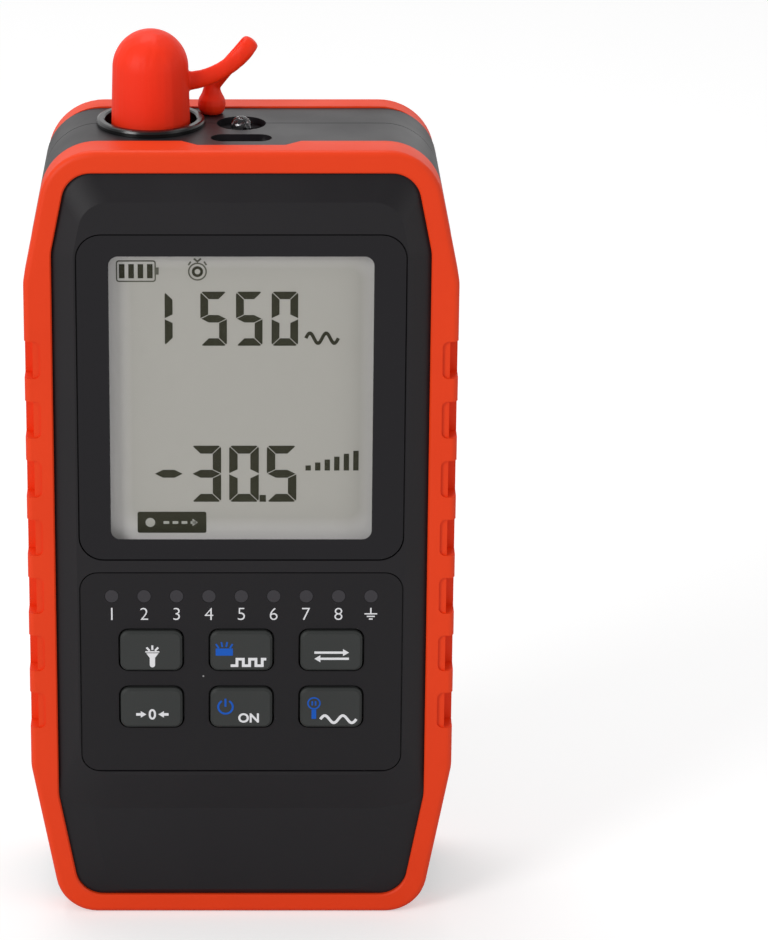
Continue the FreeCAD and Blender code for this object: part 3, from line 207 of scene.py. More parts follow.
floor_data = bpy.data.meshes.new("floor")
corners = [(-FLOOR_HALF, -FLOOR_HALF, 0), (FLOOR_HALF, -FLOOR_HALF, 0),
           (FLOOR_HALF, FLOOR_HALF, 0), (-FLOOR_HALF, FLOOR_HALF, 0)]
floor_data.from_pydata(corners, [], [(0, 1, 2, 3)])
floor = show("floor", floor_data)
card = bpy.data.materials.new("pale_card")
card.use_nodes = True
tree = card.node_tree
surface = tree.nodes["Principled BSDF"]
CARD = {"Base Color": (0.72, 0.72, 0.72, 1), "Roughness": 0.9, "Specular IOR Level": 0.0,
        "Emission Color": (1, 1, 1, 1)}
for label, value in CARD.items():
    surface.inputs[label].default_value = value
rays = add(tree, "ShaderNodeLightPath")
lift = maths(tree, "MULTIPLY", CARD_LIFT)
wire(tree, (rays, "Is Camera Ray", lift, 0), (lift, 0, surface, "Emission Strength"))
floor_data.materials.append(card)
print("floor:", 2 * FLOOR_HALF, "m across")


# %% [markdown]
# ## Shader groups
# Moulded plastic and rubber are never one even colour. They have a fine grain, faint
# cloudy changes of shade, a few specks of dust, and hair-thin scuffs where they were handled.
# More than one finish needs these, so each is a node group with named inputs, built once.

# %% Group helper
def shader_group(name, inputs, outputs):
    """Empty shader group with (name, kind, value) inputs; returns the tree and its two ends."""
    tree = bpy.data.node_groups.new(name, "ShaderNodeTree")
    for label, kind, value in inputs:
        socket = tree.interface.new_socket(label, in_out="INPUT", socket_type="NodeSocket" + kind)
        socket.default_value = value
    for label, kind in outputs:
        tree.interface.new_socket(label, in_out="OUTPUT", socket_type="NodeSocket" + kind)
    return tree, tree.nodes.new("NodeGroupInput"), tree.nodes.new("NodeGroupOutput")


# %% Grain group
WHITE = (1, 1, 1, 1)
GREY = (0.5, 0.5, 0.5, 1)

grain, start, end = shader_group(
    "moulded_grain",
    [("Colour", "Color", GREY), ("Shade", "Color", GREY), ("Cloud Scale", "Float", 60.0),
     ("Grain Scale", "Float", 2500.0), ("Grain Depth", "Float", 0.1),
     ("Roughness", "Float", 0.5), ("Spread", "Float", 0.1)],
    [("Colour", "Color"), ("Roughness", "Float"), ("Normal", "Vector")])
place = add(grain, "ShaderNodeTexCoord")
cloud = add(grain, "ShaderNodeTexNoise", Detail=4.0)
fine = add(grain, "ShaderNodeTexNoise", Detail=2.0)
mix = add(grain, "ShaderNodeMix", data_type="RGBA")
spread = add(grain, "ShaderNodeMapRange", From_Min=0.3, From_Max=0.7)
low = maths(grain, "SUBTRACT")
high = maths(grain, "ADD")
bump = add(grain, "ShaderNodeBump", Distance=0.00005)
wire(grain, (place, "Object", cloud, "Vector"), (place, "Object", fine, "Vector"),
     (start, "Cloud Scale", cloud, "Scale"), (start, "Grain Scale", fine, "Scale"),
     (cloud, "Fac", mix, "Factor"), (start, "Colour", mix, "A"), (start, "Shade", mix, "B"),
     (cloud, "Fac", spread, "Value"), (start, "Roughness", low, 0), (start, "Spread", low, 1),
     (start, "Roughness", high, 0), (start, "Spread", high, 1), (low, 0, spread, "To Min"),
     (high, 0, spread, "To Max"), (fine, "Fac", bump, "Height"),
     (start, "Grain Depth", bump, "Strength"), (mix, "Result", end, "Colour"),
     (spread, "Result", end, "Roughness"), (bump, "Normal", end, "Normal"))
print("group ready:", grain.name)

# %% Specks and scuffs group
wear, start, end = shader_group(
    "specks_and_scuffs",
    [("Colour", "Color", GREY), ("Dust", "Color", WHITE), ("Scale", "Float", 700.0),
     ("Specks", "Float", 0.3), ("Scuffs", "Float", 0.2)],
    [("Colour", "Color"), ("Mask", "Float")])
place = add(wear, "ShaderNodeTexCoord")
cells = add(wear, "ShaderNodeTexVoronoi", feature="F1")
dot = add(wear, "ShaderNodeMapRange", From_Min=0.12, From_Max=0.05)
chance = add(wear, "ShaderNodeMapRange", From_Min=0.985, From_Max=0.99)
stretch = add(wear, "ShaderNodeMapping", vector_type="TEXTURE", Rotation=(0.2, 0.5, 0.9),
              Scale=(8, 1, 1))
hairs = add(wear, "ShaderNodeTexVoronoi", feature="F1", Scale=420.0)
hair = add(wear, "ShaderNodeMapRange", From_Min=0.1, From_Max=0.03)
rare = add(wear, "ShaderNodeMapRange", From_Min=0.975, From_Max=0.985)
speck = maths(wear, "MULTIPLY")
speck_on = maths(wear, "MULTIPLY")
scuff = maths(wear, "MULTIPLY")
scuff_on = maths(wear, "MULTIPLY")
total = maths(wear, "MAXIMUM")
mix = add(wear, "ShaderNodeMix", data_type="RGBA")
wire(wear, (place, "Object", cells, "Vector"), (place, "Object", stretch, "Vector"),
     (stretch, "Vector", hairs, "Vector"), (start, "Scale", cells, "Scale"),
     (cells, "Distance", dot, "Value"), (cells, "Color", chance, "Value"),
     (hairs, "Distance", hair, "Value"), (hairs, "Color", rare, "Value"),
     (dot, "Result", speck, 0), (chance, "Result", speck, 1), (speck, 0, speck_on, 0),
     (start, "Specks", speck_on, 1), (hair, "Result", scuff, 0), (rare, "Result", scuff, 1),
     (scuff, 0, scuff_on, 0), (start, "Scuffs", scuff_on, 1), (speck_on, 0, total, 0),
     (scuff_on, 0, total, 1), (total, 0, mix, "Factor"), (start, "Colour", mix, "A"),
     (start, "Dust", mix, "B"), (mix, "Result", end, "Colour"), (total, 0, end, "Mask"))
print("group ready:", wear.name)

# %% [markdown]
# ## Rounded opening
# The display window is one clear pane with black ink printed on it all round, and the ink
# stops at a clean rounded rectangle. The same outline paints the glass behind lighter
# towards its edges, as painted light against the shadow of the window's recess. The
# distance to a rounded rectangle is a short piece of arithmetic, so it is a group: 0 inside
# the opening and 1 outside.

# %% Rounded opening group
opening, start, end = shader_group(
    "rounded_opening",
    [("Centre", "Vector", (0, 0, 0)), ("Half Size", "Vector", (0.01, 1, 0.01)),
     ("Corner", "Float", 0.001), ("Softness", "Float", 0.00005)],
    [("Outside", "Float")])
place = add(opening, "ShaderNodeTexCoord")
offset, absolute, past, rounded, outer, flatten, far = (
    add(opening, "ShaderNodeVectorMath", operation=operation)
    for operation in ("SUBTRACT", "ABSOLUTE", "SUBTRACT", "ADD", "MAXIMUM", "MULTIPLY", "LENGTH"))
flatten.inputs[1].default_value = (1, 0, 1)
corner = add(opening, "ShaderNodeCombineXYZ")
reach = maths(opening, "SUBTRACT")
ramp = add(opening, "ShaderNodeMapRange")
wire(opening, (place, "Object", offset, 0), (start, "Centre", offset, 1), (offset, 0, absolute, 0),
     (absolute, 0, past, 0), (start, "Half Size", past, 1), (start, "Corner", corner, "X"),
     (start, "Corner", corner, "Z"), (past, 0, rounded, 0), (corner, 0, rounded, 1),
     (rounded, 0, outer, 0), (outer, 0, flatten, 0), (flatten, 0, far, 0),
     (far, "Value", reach, 0), (start, "Corner", reach, 1), (reach, 0, ramp, "Value"),
     (start, "Softness", ramp, "From Max"), (ramp, "Result", end, "Outside"))
print("group ready:", opening.name)

# %% [markdown]
# ## Finishes
# Every finish is a Principled shader. The groups above feed its colour, roughness and
# normal, and each plain value, such as how strongly it mirrors, is set on the shader's own
# socket. The black case is satin plastic, the frame is a slightly softer rubber, and the
# cap is silicone, which lets a little light into its surface.

# %% Finish helpers
def finish(name, **sockets):
    """New material; sockets are plain values for its Principled shader."""
    material = bpy.data.materials.new(name)
    material.use_nodes = True
    shader = material.node_tree.nodes["Principled BSDF"]
    for label, value in sockets.items():
        shader.inputs[label.replace("_", " ")].default_value = value
    return material, material.node_tree, shader


def place_group(tree, group, **values):
    node = tree.nodes.new("ShaderNodeGroup")
    node.node_tree = group
    for label, value in values.items():
        node.inputs[label.replace("_", " ")].default_value = value
    return node


def moulded(name, base, shade, roughness, spread=0.08, depth=0.15, cloud=60.0, fine=2500.0,
            dust=(200, 200, 200), specks=0.0, scuffs=0.0, **sockets):
    """Moulded plastic, rubber or metal: grain, cloudy shade, dust specks and scuffs."""
    material, tree, shader = finish(name, **sockets)
    texture = place_group(tree, grain, Colour=colour(*base), Shade=colour(*shade),
                          Roughness=roughness, Spread=spread, Grain_Depth=depth,
                          Cloud_Scale=cloud, Grain_Scale=fine)
    marks = place_group(tree, wear, Dust=colour(*dust), Specks=specks, Scuffs=scuffs)
    wire(tree, (texture, "Colour", marks, "Colour"), (marks, "Colour", shader, "Base Color"),
         (texture, "Roughness", shader, "Roughness"), (texture, "Normal", shader, "Normal"))
    return material


# %% Outer finishes
cover_black = moulded("satin_black", (27, 25, 28), (33, 31, 34), 0.42, specks=0.5, scuffs=0.25,
                      Specular_IOR_Level=0.3)
bumper_orange = moulded("orange_rubber", (244, 66, 14), (232, 58, 10), 0.5, dust=(255, 150, 130),
                        specks=0.35, scuffs=0.3, Specular_IOR_Level=0.28)
silicone_orange = moulded("orange_silicone", (255, 54, 16), (246, 46, 12), 0.5,
                          dust=(255, 150, 120), specks=0.3, scuffs=0.5, Subsurface_Weight=0.1,
                          Subsurface_Scale=0.002, Subsurface_Radius=(1.0, 0.3, 0.15),
                          Specular_IOR_Level=0.25)
key_rubber = moulded("grey_key_rubber", (58, 60, 59), (52, 54, 53), 0.55, depth=0.3, specks=0.8,
                     Specular_IOR_Level=0.3)
film_black = moulded("black_film", (24, 22, 25), (28, 26, 29), 0.5, specks=0.6,
                     Specular_IOR_Level=0.3)
ring_black = moulded("gloss_black", (12, 12, 13), (18, 18, 19), 0.2, spread=0.06, depth=0.05,
                     specks=0.6, scuffs=0.2)

# draw marks run along the cap: a noise stretched in Z raises faint upright ridges
tree = silicone_orange.node_tree
shader = tree.nodes["Principled BSDF"]
place = add(tree, "ShaderNodeTexCoord")
draw = add(tree, "ShaderNodeMapping", Scale=(700, 700, 16))
streak = add(tree, "ShaderNodeTexNoise", Scale=1.0, Detail=1.0)
ridge = add(tree, "ShaderNodeBump", Strength=0.5, Distance=0.0004)
texture = shader.inputs["Normal"].links[0].from_node
wire(tree, (place, "Object", draw, "Vector"), (draw, "Vector", streak, "Vector"),
     (streak, "Fac", ridge, "Height"), (texture, "Normal", ridge, "Normal"),
     (ridge, "Normal", shader, "Normal"))
print("outer finishes ready")

# %% Metals and inner finishes
steel = moulded("pressed_steel", (190, 190, 188), (170, 170, 168), 0.28, depth=0.1, Metallic=1.0)
screw_zinc = moulded("zinc_screw", (165, 165, 162), (140, 140, 138), 0.35, depth=0.2, Metallic=1.0)
nickel = moulded("nickel_brass", (205, 200, 188), (190, 184, 170), 0.25, depth=0.1, Metallic=1.0)
gold = moulded("gold_can", (214, 178, 110), (200, 160, 92), 0.25, depth=0.1, Metallic=1.0)
tin = moulded("tinned_lead", (200, 200, 200), (180, 180, 180), 0.3, depth=0.1, Metallic=1.0)
ceramic = moulded("white_ceramic", (235, 233, 226), (226, 224, 216), 0.2, depth=0.05)
board_green = moulded("green_mask", (14, 70, 40), (18, 82, 46), 0.35, depth=0.2, cloud=200.0)
chip_black = moulded("moulded_chip", (24, 24, 26), (30, 30, 32), 0.6, depth=0.4)
gasket_foam = moulded("foam_black", (22, 22, 22), (34, 34, 34), 0.9, depth=0.8)
white_plastic = moulded("white_plastic", (222, 222, 216), (212, 212, 206), 0.4)
grey_mat = moulded("grey_mat", (120, 122, 124), (108, 110, 112), 0.6, depth=0.3)
cell_foil = moulded("cell_foil", (150, 155, 160), (135, 140, 146), 0.35, depth=0.4,
                    cloud=150.0, Metallic=0.6)
tape_white = moulded("foam_tape", (210, 208, 200), (198, 196, 188), 0.9, depth=0.6)
wire_red = moulded("red_lead", (170, 24, 20), (150, 20, 18), 0.45)
jack_black = moulded("jack_plastic", (26, 26, 27), (32, 32, 33), 0.45, depth=0.2)
blade_black = moulded("blade_plastic", (18, 18, 19), (24, 24, 25), 0.4)
zebra_grey = moulded("contact_strip", (70, 70, 72), (50, 50, 52), 0.7)
print("inner finishes ready")

# %% [markdown]
# ## The display's glass
# Liquid-crystal glass looks flat and grey. Here its colour is painted lighter towards its
# edges, most on the left, as painted light where the window's deep recess shades it.
# Its dark segments lie inside it, so they are made later as thin pieces just in front.
# The window over it is one pane: a mask from the rounded opening makes its middle almost
# fully transparent and leaves the printed border opaque and glossy. The ink is on the pane's
# front face only, so a second mask keeps it off the pane's edges and back.

# %% Display glass
window_low, window_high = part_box("display_window")
window_centre = (window_low + window_high) / 2
VIEW_HALF = Vector((19.4 * MM, 1, 22.1 * MM))
VIEW_CORNER = 1.4 * MM
# inset and sideways shift of the painted edge light on the display glass
EDGE_LIGHT_INSET = 2.6 * MM
EDGE_LIGHT_SHIFT = Vector((0.7 * MM, 0, 0))

display_glass, tree, shader = finish("display_glass", Roughness=0.35, Specular_IOR_Level=0.1)
# painted light: the glass colour turns lighter towards the opening's edges, and the shift to the
# right lifts the left edge most, against the recess's shadow
shade = place_group(tree, opening, Centre=window_centre + EDGE_LIGHT_SHIFT, Corner=2 * MM,
                    Softness=3.5 * MM,
                    Half_Size=(VIEW_HALF.x - EDGE_LIGHT_INSET, 1, VIEW_HALF.z - EDGE_LIGHT_INSET))
cloudy = place_group(tree, grain, Colour=colour(189, 187, 180), Shade=colour(185, 183, 176),
                     Cloud_Scale=25.0)
painted_edge_light = add(tree, "ShaderNodeMix", data_type="RGBA")
painted_edge_light.inputs["B"].default_value = colour(234, 232, 230)
wire(tree, (shade, "Outside", painted_edge_light, "Factor"), (cloudy, "Colour", painted_edge_light, "A"),
     (painted_edge_light, "Result", shader, "Base Color"))

window_clear, tree, shader = finish("printed_window", Roughness=0.12, Specular_IOR_Level=0.3,
                                    Base_Color=colour(22, 20, 24))
print_mask = place_group(tree, opening, Centre=window_centre, Corner=VIEW_CORNER,
                         Softness=0.06 * MM, Half_Size=VIEW_HALF)
opaque = add(tree, "ShaderNodeMapRange", To_Min=0.04, To_Max=1.0)
where = add(tree, "ShaderNodeTexCoord")
across = add(tree, "ShaderNodeSeparateXYZ")
face_only = maths(tree, "LESS_THAN", window_centre.y)
inked = maths(tree, "MULTIPLY")
wire(tree, (where, "Object", across, 0), (across, "Y", face_only, 0),
     (print_mask, "Outside", inked, 0), (face_only, 0, inked, 1), (inked, 0, opaque, "Value"),
     (opaque, "Result", shader, "Alpha"))

clear_lens = finish("clear_lens", Base_Color=(0.6, 0.6, 0.63, 1), Roughness=0.04, IOR=1.5,
                    Transmission_Weight=1.0)[0]
smoked = finish("smoked_lens", Base_Color=colour(58, 56, 60), Roughness=0.5,
                Specular_IOR_Level=0.3)[0]
light_white = moulded("light_guide_white", (235, 235, 230), (228, 228, 222), 0.3)
print("display and window ready at height", round(window_centre.z, 4))

# %% Give every CAD piece its finish
FINISHES = {
    "front_cover": cover_black, "rear_cover": cover_black, "front_bumper": bumper_orange,
    "rear_bumper": bumper_orange, "display_window": window_clear, "keypad_overlay": film_black,
    "lcd_gasket": gasket_foam, "lcd_glass": display_glass, "lcd_backlight": light_white,
    "zebra_strip": zebra_grey, "lcd_frame": white_plastic, "keypad_mat": grey_mat,
    "dome_switches": steel, "light_guide": smoked, "indicator_leds": white_plastic,
    "main_board": board_green, "buzzer": chip_black, "battery_cell": cell_foil,
    "battery_tape": tape_white, "battery_plug": white_plastic, "battery_header": white_plastic,
    "battery_leads": wire_red, "usb_socket": steel, "usb_blade": blade_black,
    "port_collar": ring_black, "port_adapter": nickel, "ferrule_sleeve": ceramic,
    "photodiode": gold, "photodiode_leads": tin, "torch_led": clear_lens, "torch_led_leads": tin,
    "network_jack": jack_black, "jack_contacts": gold, "dust_cap": silicone_orange,
    "case_screws": screw_zinc, "board_screws": screw_zinc, "processor_chip": chip_black,
    "amplifier_chip": chip_black, "charger_chip": chip_black,
}
for name, piece in nodes.items():
    finish_of_piece = FINISHES.get(name, key_rubber)
    for material_slot in piece.material_slots:
        material_slot.material = finish_of_piece
print("finished", len(nodes), "pieces")


# %% [markdown]
# ## Printed marks
# Ink on a panel is a few hundredths of a millimetre thick. Here each mark is drawn as closed
# outlines seen from the front, in millimetres, and every outline becomes a thin plate that
# stands just clear of its face. A plate keeps a sharp edge in any view, and it can ride on
# the key that it is printed on.

# %% Inks and the printing helper
INK = 0.03
SEGMENT_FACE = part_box("lcd_glass")[0].y
PANEL_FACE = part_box("keypad_overlay")[0].y

ink_white = moulded("white_ink", (238, 238, 240), (226, 226, 230), 0.5, Specular_IOR_Level=0.2)
ink_blue = moulded("blue_ink", (26, 96, 200), (20, 84, 180), 0.5, Specular_IOR_Level=0.2)
segment_dark = moulded("crystal_segment", (64, 64, 51), (58, 58, 46), 0.5, Specular_IOR_Level=0.1)
segment_faint = moulded("crystal_outline", (104, 104, 94), (98, 98, 88), 0.5,
                        Specular_IOR_Level=0.1)
segment_pale = moulded("crystal_gap", (190, 190, 182), (184, 184, 176), 0.5,
                       Specular_IOR_Level=0.1)


def settle(data, name, material, body):
    """Makes a finished mesh a named piece that rides on a body."""
    data.materials.clear()
    data.materials.append(material)
    piece = show(name, data)
    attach(piece, body)
    print(name, "faces:", len(data.polygons))
    return piece


def plate_set(name, outlines, near, far, material, body):
    """Flat plates from closed (x, z) outlines in mm, between two depths in metres."""
    plates = bmesh.new()
    for outline in outlines:
        front = [plates.verts.new((x * MM, near, z * MM)) for x, z in outline]
        back = [plates.verts.new((x * MM, far, z * MM)) for x, z in outline]
        plates.faces.new(front)
        plates.faces.new(back[::-1])
        for step, corner in enumerate(front):
            after = (step + 1) % len(front)
            plates.faces.new((corner, back[step], back[after], front[after]))
    bmesh.ops.recalc_face_normals(plates, faces=plates.faces)
    data = bpy.data.meshes.new(name)
    plates.to_mesh(data)
    plates.free()
    return settle(data, name, material, body)


def printed(name, outlines, face, material, body="meter"):
    """Ink: plates that stand just clear of a face and reach a little into it."""
    return plate_set(name, outlines, face - INK * MM, face + INK * MM / 2, material, body)


# %% Outline helpers
def rect(left, low, right, high):
    return [(left, low), (right, low), (right, high), (left, high)]


def arc(x, z, radius, start, end, steps=20):
    """Points along a circle from one angle to another, in degrees."""
    turns = [math.radians(start + (end - start) * step / steps) for step in range(steps + 1)]
    return [(x + radius * math.cos(turn), z + radius * math.sin(turn)) for turn in turns]


def stroke(points, width):
    """Outline of a pen stroke of even width along a line of points."""
    line = [Vector(point) for point in points]
    left, right = [], []
    for place, point in enumerate(line):
        before = (point - line[place - 1]).normalized() if place else None
        after = (line[place + 1] - point).normalized() if place < len(line) - 1 else None
        along = ((before or after) + (after or before)).normalized()
        side = Vector((-along.y, along.x))
        lean = max(0.4, abs(along.dot(before or after)))
        left.append(tuple(point + side * width / 2 / lean))
        right.append(tuple(point - side * width / 2 / lean))
    return left + right[::-1]


def ring(x, z, radius, width):
    """A closed circle as two half strokes."""
    return [stroke(arc(x, z, radius, 0, 180), width), stroke(arc(x, z, radius, 180, 360), width)]


def rounded_loop(left, low, right, high, corner, width):
    """A rounded frame as an upper and a lower half stroke."""
    middle = (low + high) / 2
    upper = [(right, middle)] + arc(right - corner, high - corner, corner, 0, 90, 6)
    upper += arc(left + corner, high - corner, corner, 90, 180, 6) + [(left, middle)]
    lower = [(left, middle)] + arc(left + corner, low + corner, corner, 180, 270, 6)
    lower += arc(right - corner, low + corner, corner, 270, 360, 6) + [(right, middle)]
    return [stroke(upper, width), stroke(lower, width)]


def sine(left, right, middle, swing, cycles, width):
    """A stroke along a sine wave."""
    steps = 14 * cycles
    line = []
    for step in range(steps + 1):
        share = step / steps
        height = middle + swing * math.sin(share * cycles * math.tau)
        line.append((left + (right - left) * share, height))
    return stroke(line, width)


def arrow(tail, tip, z, shaft, head):
    """An arrow along x from its tail to its tip, with a solid head."""
    neck = tip - math.copysign(head, tip - tail)
    return [(tail, z - shaft / 2), (neck, z - shaft / 2), (neck, z - head * 0.62), (tip, z),
            (neck, z + head * 0.62), (neck, z + shaft / 2), (tail, z + shaft / 2)]


# %% [markdown]
# ## Seven-segment figures
# A display like this builds every figure from the same seven bars. Only two bars have to be
# drawn, a flat one and an upright one: the others are the same outlines mirrored, so the
# narrow mitred gaps between the bars match everywhere. A table says which bars a figure
# lights.

# %% Figures
LIT = {"0": "abcdef", "1": "ef", "3": "abcdg", "5": "acdfg", "-": "g"}
CUT = 0.35
GAP = 0.09


def figure_outlines(figure, x, z, width, height, bar):
    """Outlines of the lit bars of one figure, with its lower left corner at (x, z)."""
    near, past = (CUT + GAP) / 2, (CUT - GAP) / 2
    flat = [(CUT, height), (width - CUT, height), (width - near, height - past),
            (width - bar - GAP, height - bar), (bar + GAP, height - bar), (near, height - past)]
    upright = [(0, height - CUT), (past, height - near), (bar, height - bar - GAP),
               (bar, (height + bar) / 2 + GAP), (0, height / 2 + GAP)]
    tip = 1.5 * GAP
    middle = [(tip, height / 2), (bar + GAP, (height + bar) / 2),
              (width - bar - GAP, (height + bar) / 2), (width - tip, height / 2),
              (width - bar - GAP, (height - bar) / 2), (bar + GAP, (height - bar) / 2)]
    bars = {"a": (flat, 0, 0), "b": (upright, 1, 0), "c": (upright, 1, 1), "d": (flat, 0, 1),
            "e": (upright, 0, 1), "f": (upright, 0, 0), "g": (middle, 0, 0)}
    lit = []
    for name in LIT[figure]:
        outline, mirror_x, mirror_z = bars[name]
        lit.append([(x + (width - px if mirror_x else px), z + (height - pz if mirror_z else pz))
                    for px, pz in outline])
    return lit


def figures(text, x, z, pitch, width, height, bar):
    """Outlines of a row of figures, from the lower left corner of its first one."""
    row = []
    for place, figure in enumerate(text):
        row += figure_outlines(figure, x + pitch * place, z, width, height, bar)
    return row


def segments(name, outlines, ink=segment_dark):
    """Dark segments of the display, which stand on its glass."""
    printed(name, outlines, SEGMENT_FACE, ink)


point = rect(2.72, 67.22, 3.67, 68.3)
segments("upper_figures", figures("1550", -11.26, 91.83, 5.24, 3.9, 8.38, 1.15))
segments("lower_figures", [point] + figures("-305", -13.0, 67.22, 5.6, 4.4, 8.91, 1.25))

# %% [markdown]
# ## Rows of bars
# The battery sign, the level sign and the beam sign are all rows of upright bars at an even
# pitch. That is work for Geometry Nodes: a line of points carries one box on each point, and
# the box's index makes each bar taller than the last where the row has to climb. The boxes
# are made real at the end, because an exported model can't hold instances.

# %% Tree helpers
def geometry_tree(name, inputs):
    """Empty geometry tree with (name, kind, value) inputs; returns the tree and its two ends."""
    tree = bpy.data.node_groups.new(name, "GeometryNodeTree")
    for label, kind, value in inputs:
        socket = tree.interface.new_socket(label, in_out="INPUT", socket_type="NodeSocket" + kind)
        socket.default_value = value
    tree.interface.new_socket("Material", in_out="INPUT", socket_type="NodeSocketMaterial")
    tree.interface.new_socket("Geometry", in_out="OUTPUT", socket_type="NodeSocketGeometry")
    return tree, tree.nodes.new("NodeGroupInput"), tree.nodes.new("NodeGroupOutput")


def close_tree(tree, start, end, geometry):
    """Ends a tree: instances made real, then the material."""
    dress = tree.nodes.new("GeometryNodeSetMaterial")
    real = tree.nodes.new("GeometryNodeRealizeInstances")
    tree.links.new(geometry, real.inputs["Geometry"])
    wire(tree, (real, "Geometry", dress, "Geometry"), (start, "Material", dress, "Material"),
         (dress, "Geometry", end, "Geometry"))


def grown(name, tree, material, body="meter", slot="overlay_black", **values):
    """Runs a tree once with these inputs and makes the result a named piece."""
    holder = show("holder", bpy.data.meshes.new("holder"))
    modifier = holder.modifiers.new("grow", "NODES")
    modifier.node_group = tree
    values["Material"] = material
    for item in tree.interface.items_tree:
        if item.in_out == "INPUT" and item.name in values:
            modifier[item.identifier] = values[item.name]
    return settle(plain_mesh(holder), name, material, body)


# %% Bar row tree
bar_row, start, end = geometry_tree(
    "bar_row", [("Count", "Int", 4), ("Start", "Vector", (0, 0, 0)), ("Pitch", "Float", 0.001),
                ("Width", "Float", 0.0005), ("Height", "Float", 0.002), ("Rise", "Float", 0.0),
                ("Depth", "Float", 0.00006)])
line = add(bar_row, "GeometryNodeMeshLine")
step = add(bar_row, "ShaderNodeCombineXYZ")
size = add(bar_row, "ShaderNodeCombineXYZ")
bar = add(bar_row, "GeometryNodeMeshCube")
half = maths(bar_row, "MULTIPLY", 0.5)
lift = add(bar_row, "ShaderNodeCombineXYZ")
raised = add(bar_row, "GeometryNodeTransform")
order = add(bar_row, "GeometryNodeInputIndex")
climb = maths(bar_row, "MULTIPLY_ADD")
climb.inputs[2].default_value = 1.0
stretch = add(bar_row, "ShaderNodeCombineXYZ", X=1.0, Y=1.0)
spread = add(bar_row, "GeometryNodeInstanceOnPoints")
wire(bar_row, (start, "Count", line, "Count"), (start, "Start", line, "Start Location"),
     (start, "Pitch", step, "X"), (step, 0, line, "Offset"))
for axis, label in (("X", "Width"), ("Y", "Depth"), ("Z", "Height")):
    wire(bar_row, (start, label, size, axis))
wire(bar_row, (size, 0, bar, "Size"), (start, "Height", half, 0), (half, 0, lift, "Z"),
     (bar, "Mesh", raised, "Geometry"), (lift, 0, raised, "Translation"), (order, 0, climb, 0),
     (start, "Rise", climb, 1), (climb, 0, stretch, "Z"), (line, "Mesh", spread, "Points"),
     (raised, "Geometry", spread, "Instance"), (stretch, 0, spread, "Scale"))
close_tree(bar_row, start, end, spread.outputs["Instances"])
print("tree ready:", bar_row.name)

# %% Battery, level and beam signs
grown("battery_bars", bar_row, segment_dark, Start=(-17.52 * MM, SEGMENT_FACE, 102.28 * MM),
      Pitch=1.37 * MM, Width=0.82 * MM, Height=2.17 * MM)
grown("level_bars", bar_row, segment_dark, Count=6,
      Start=(9.95 * MM, SEGMENT_FACE, 72.2 * MM), Pitch=1.42 * MM, Width=0.8 * MM,
      Height=0.8 * MM, Rise=0.58)
grown("beam_dashes", bar_row, segment_pale, slot="light_white", Count=4,
      Start=(-11.2 * MM, SEGMENT_FACE - INK * MM, 63.7 * MM), Pitch=1.35 * MM,
      Width=0.85 * MM, Height=0.42 * MM)

# %% Other display signs
WATCH_X, WATCH_Z = -6.43, 103.3

battery = rounded_loop(-18.28, 101.8, -12.62, 104.94, 0.35, 0.2)
battery.append(rect(-12.5, 102.85, -12.1, 103.95))
segments("battery_frame", battery, segment_faint)
watch = ring(WATCH_X, WATCH_Z, 1.28, 0.22)
watch.append(stroke([(-6.95, 105.3), (WATCH_X, 104.85), (-5.91, 105.3)], 0.28))
watch.append(stroke([(-7.75, 104.3), (-7.4, 104.85)], 0.25))
watch.append(stroke([(-5.46, 104.85), (-5.11, 104.3)], 0.25))
segments("timer_frame", watch, segment_faint)
segments("timer_hub", ring(WATCH_X, WATCH_Z, 0.62, 0.42))
segments("wave_sign", [sine(9.5, 14.3, 93.0, 0.8, 2, 0.5)])
plate = arc(-5.52, 65.32, 0.3, 0, 90, 5) + arc(-15.21, 65.32, 0.3, 90, 180, 5)
plate += arc(-15.21, 62.55, 0.3, 180, 270, 5) + arc(-5.52, 62.55, 0.3, 270, 360, 5)
segments("beam_plate", [plate])
source = [arc(-13.6, 63.92, 0.72, 0, 342, 19)]
source.append([(-6.5, 63.92), (-7.3, 63.32), (-7.3, 64.52)])
printed("beam_source", source, SEGMENT_FACE - INK * MM, segment_pale)
print("display signs done")

# %% [markdown]
# ## Numbers under the lamps
# The nine lamps are numbered, and the last one carries the earth sign. Letters come from
# Blender's own font. A text object is a flat curve that faces upwards, so it is made a mesh
# first, and only then are its points moved to the panel.

# %% Lettering
def lettering(name, words, face, material, body="meter"):
    """Raised type from (text, x, z, height, boldness) rows, centred, in mm."""
    joined = bmesh.new()
    for text, x, z, height, bold in words:
        curve = bpy.data.curves.new("type", "FONT")
        curve.body = text
        curve.align_x = "CENTER"
        curve.extrude = 0.1
        curve.offset = bold
        data = plain_mesh(show("type", curve))
        across = [vertex.co.x for vertex in data.vertices]
        along = [vertex.co.y for vertex in data.vertices]
        ratio = height / (max(along) - min(along))
        middle = ((max(across) + min(across)) / 2, (max(along) + min(along)) / 2)
        for vertex in data.vertices:
            px, pz, front = vertex.co.x - middle[0], vertex.co.y - middle[1], vertex.co.z > 0
            depth = face - INK * MM if front else face + INK * MM / 2
            vertex.co = ((x + px * ratio) * MM, depth, (z + pz * ratio) * MM)
        joined.from_mesh(data)
    bmesh.ops.remove_doubles(joined, verts=joined.verts, dist=0.000001)
    bmesh.ops.recalc_face_normals(joined, faces=joined.faces)
    data = bpy.data.meshes.new(name)
    joined.to_mesh(data)
    joined.free()
    return settle(data, name, material, body)


# %% Lamp numbers
LAMP_PITCH = 4.86
NUMBER_Z = 50.05

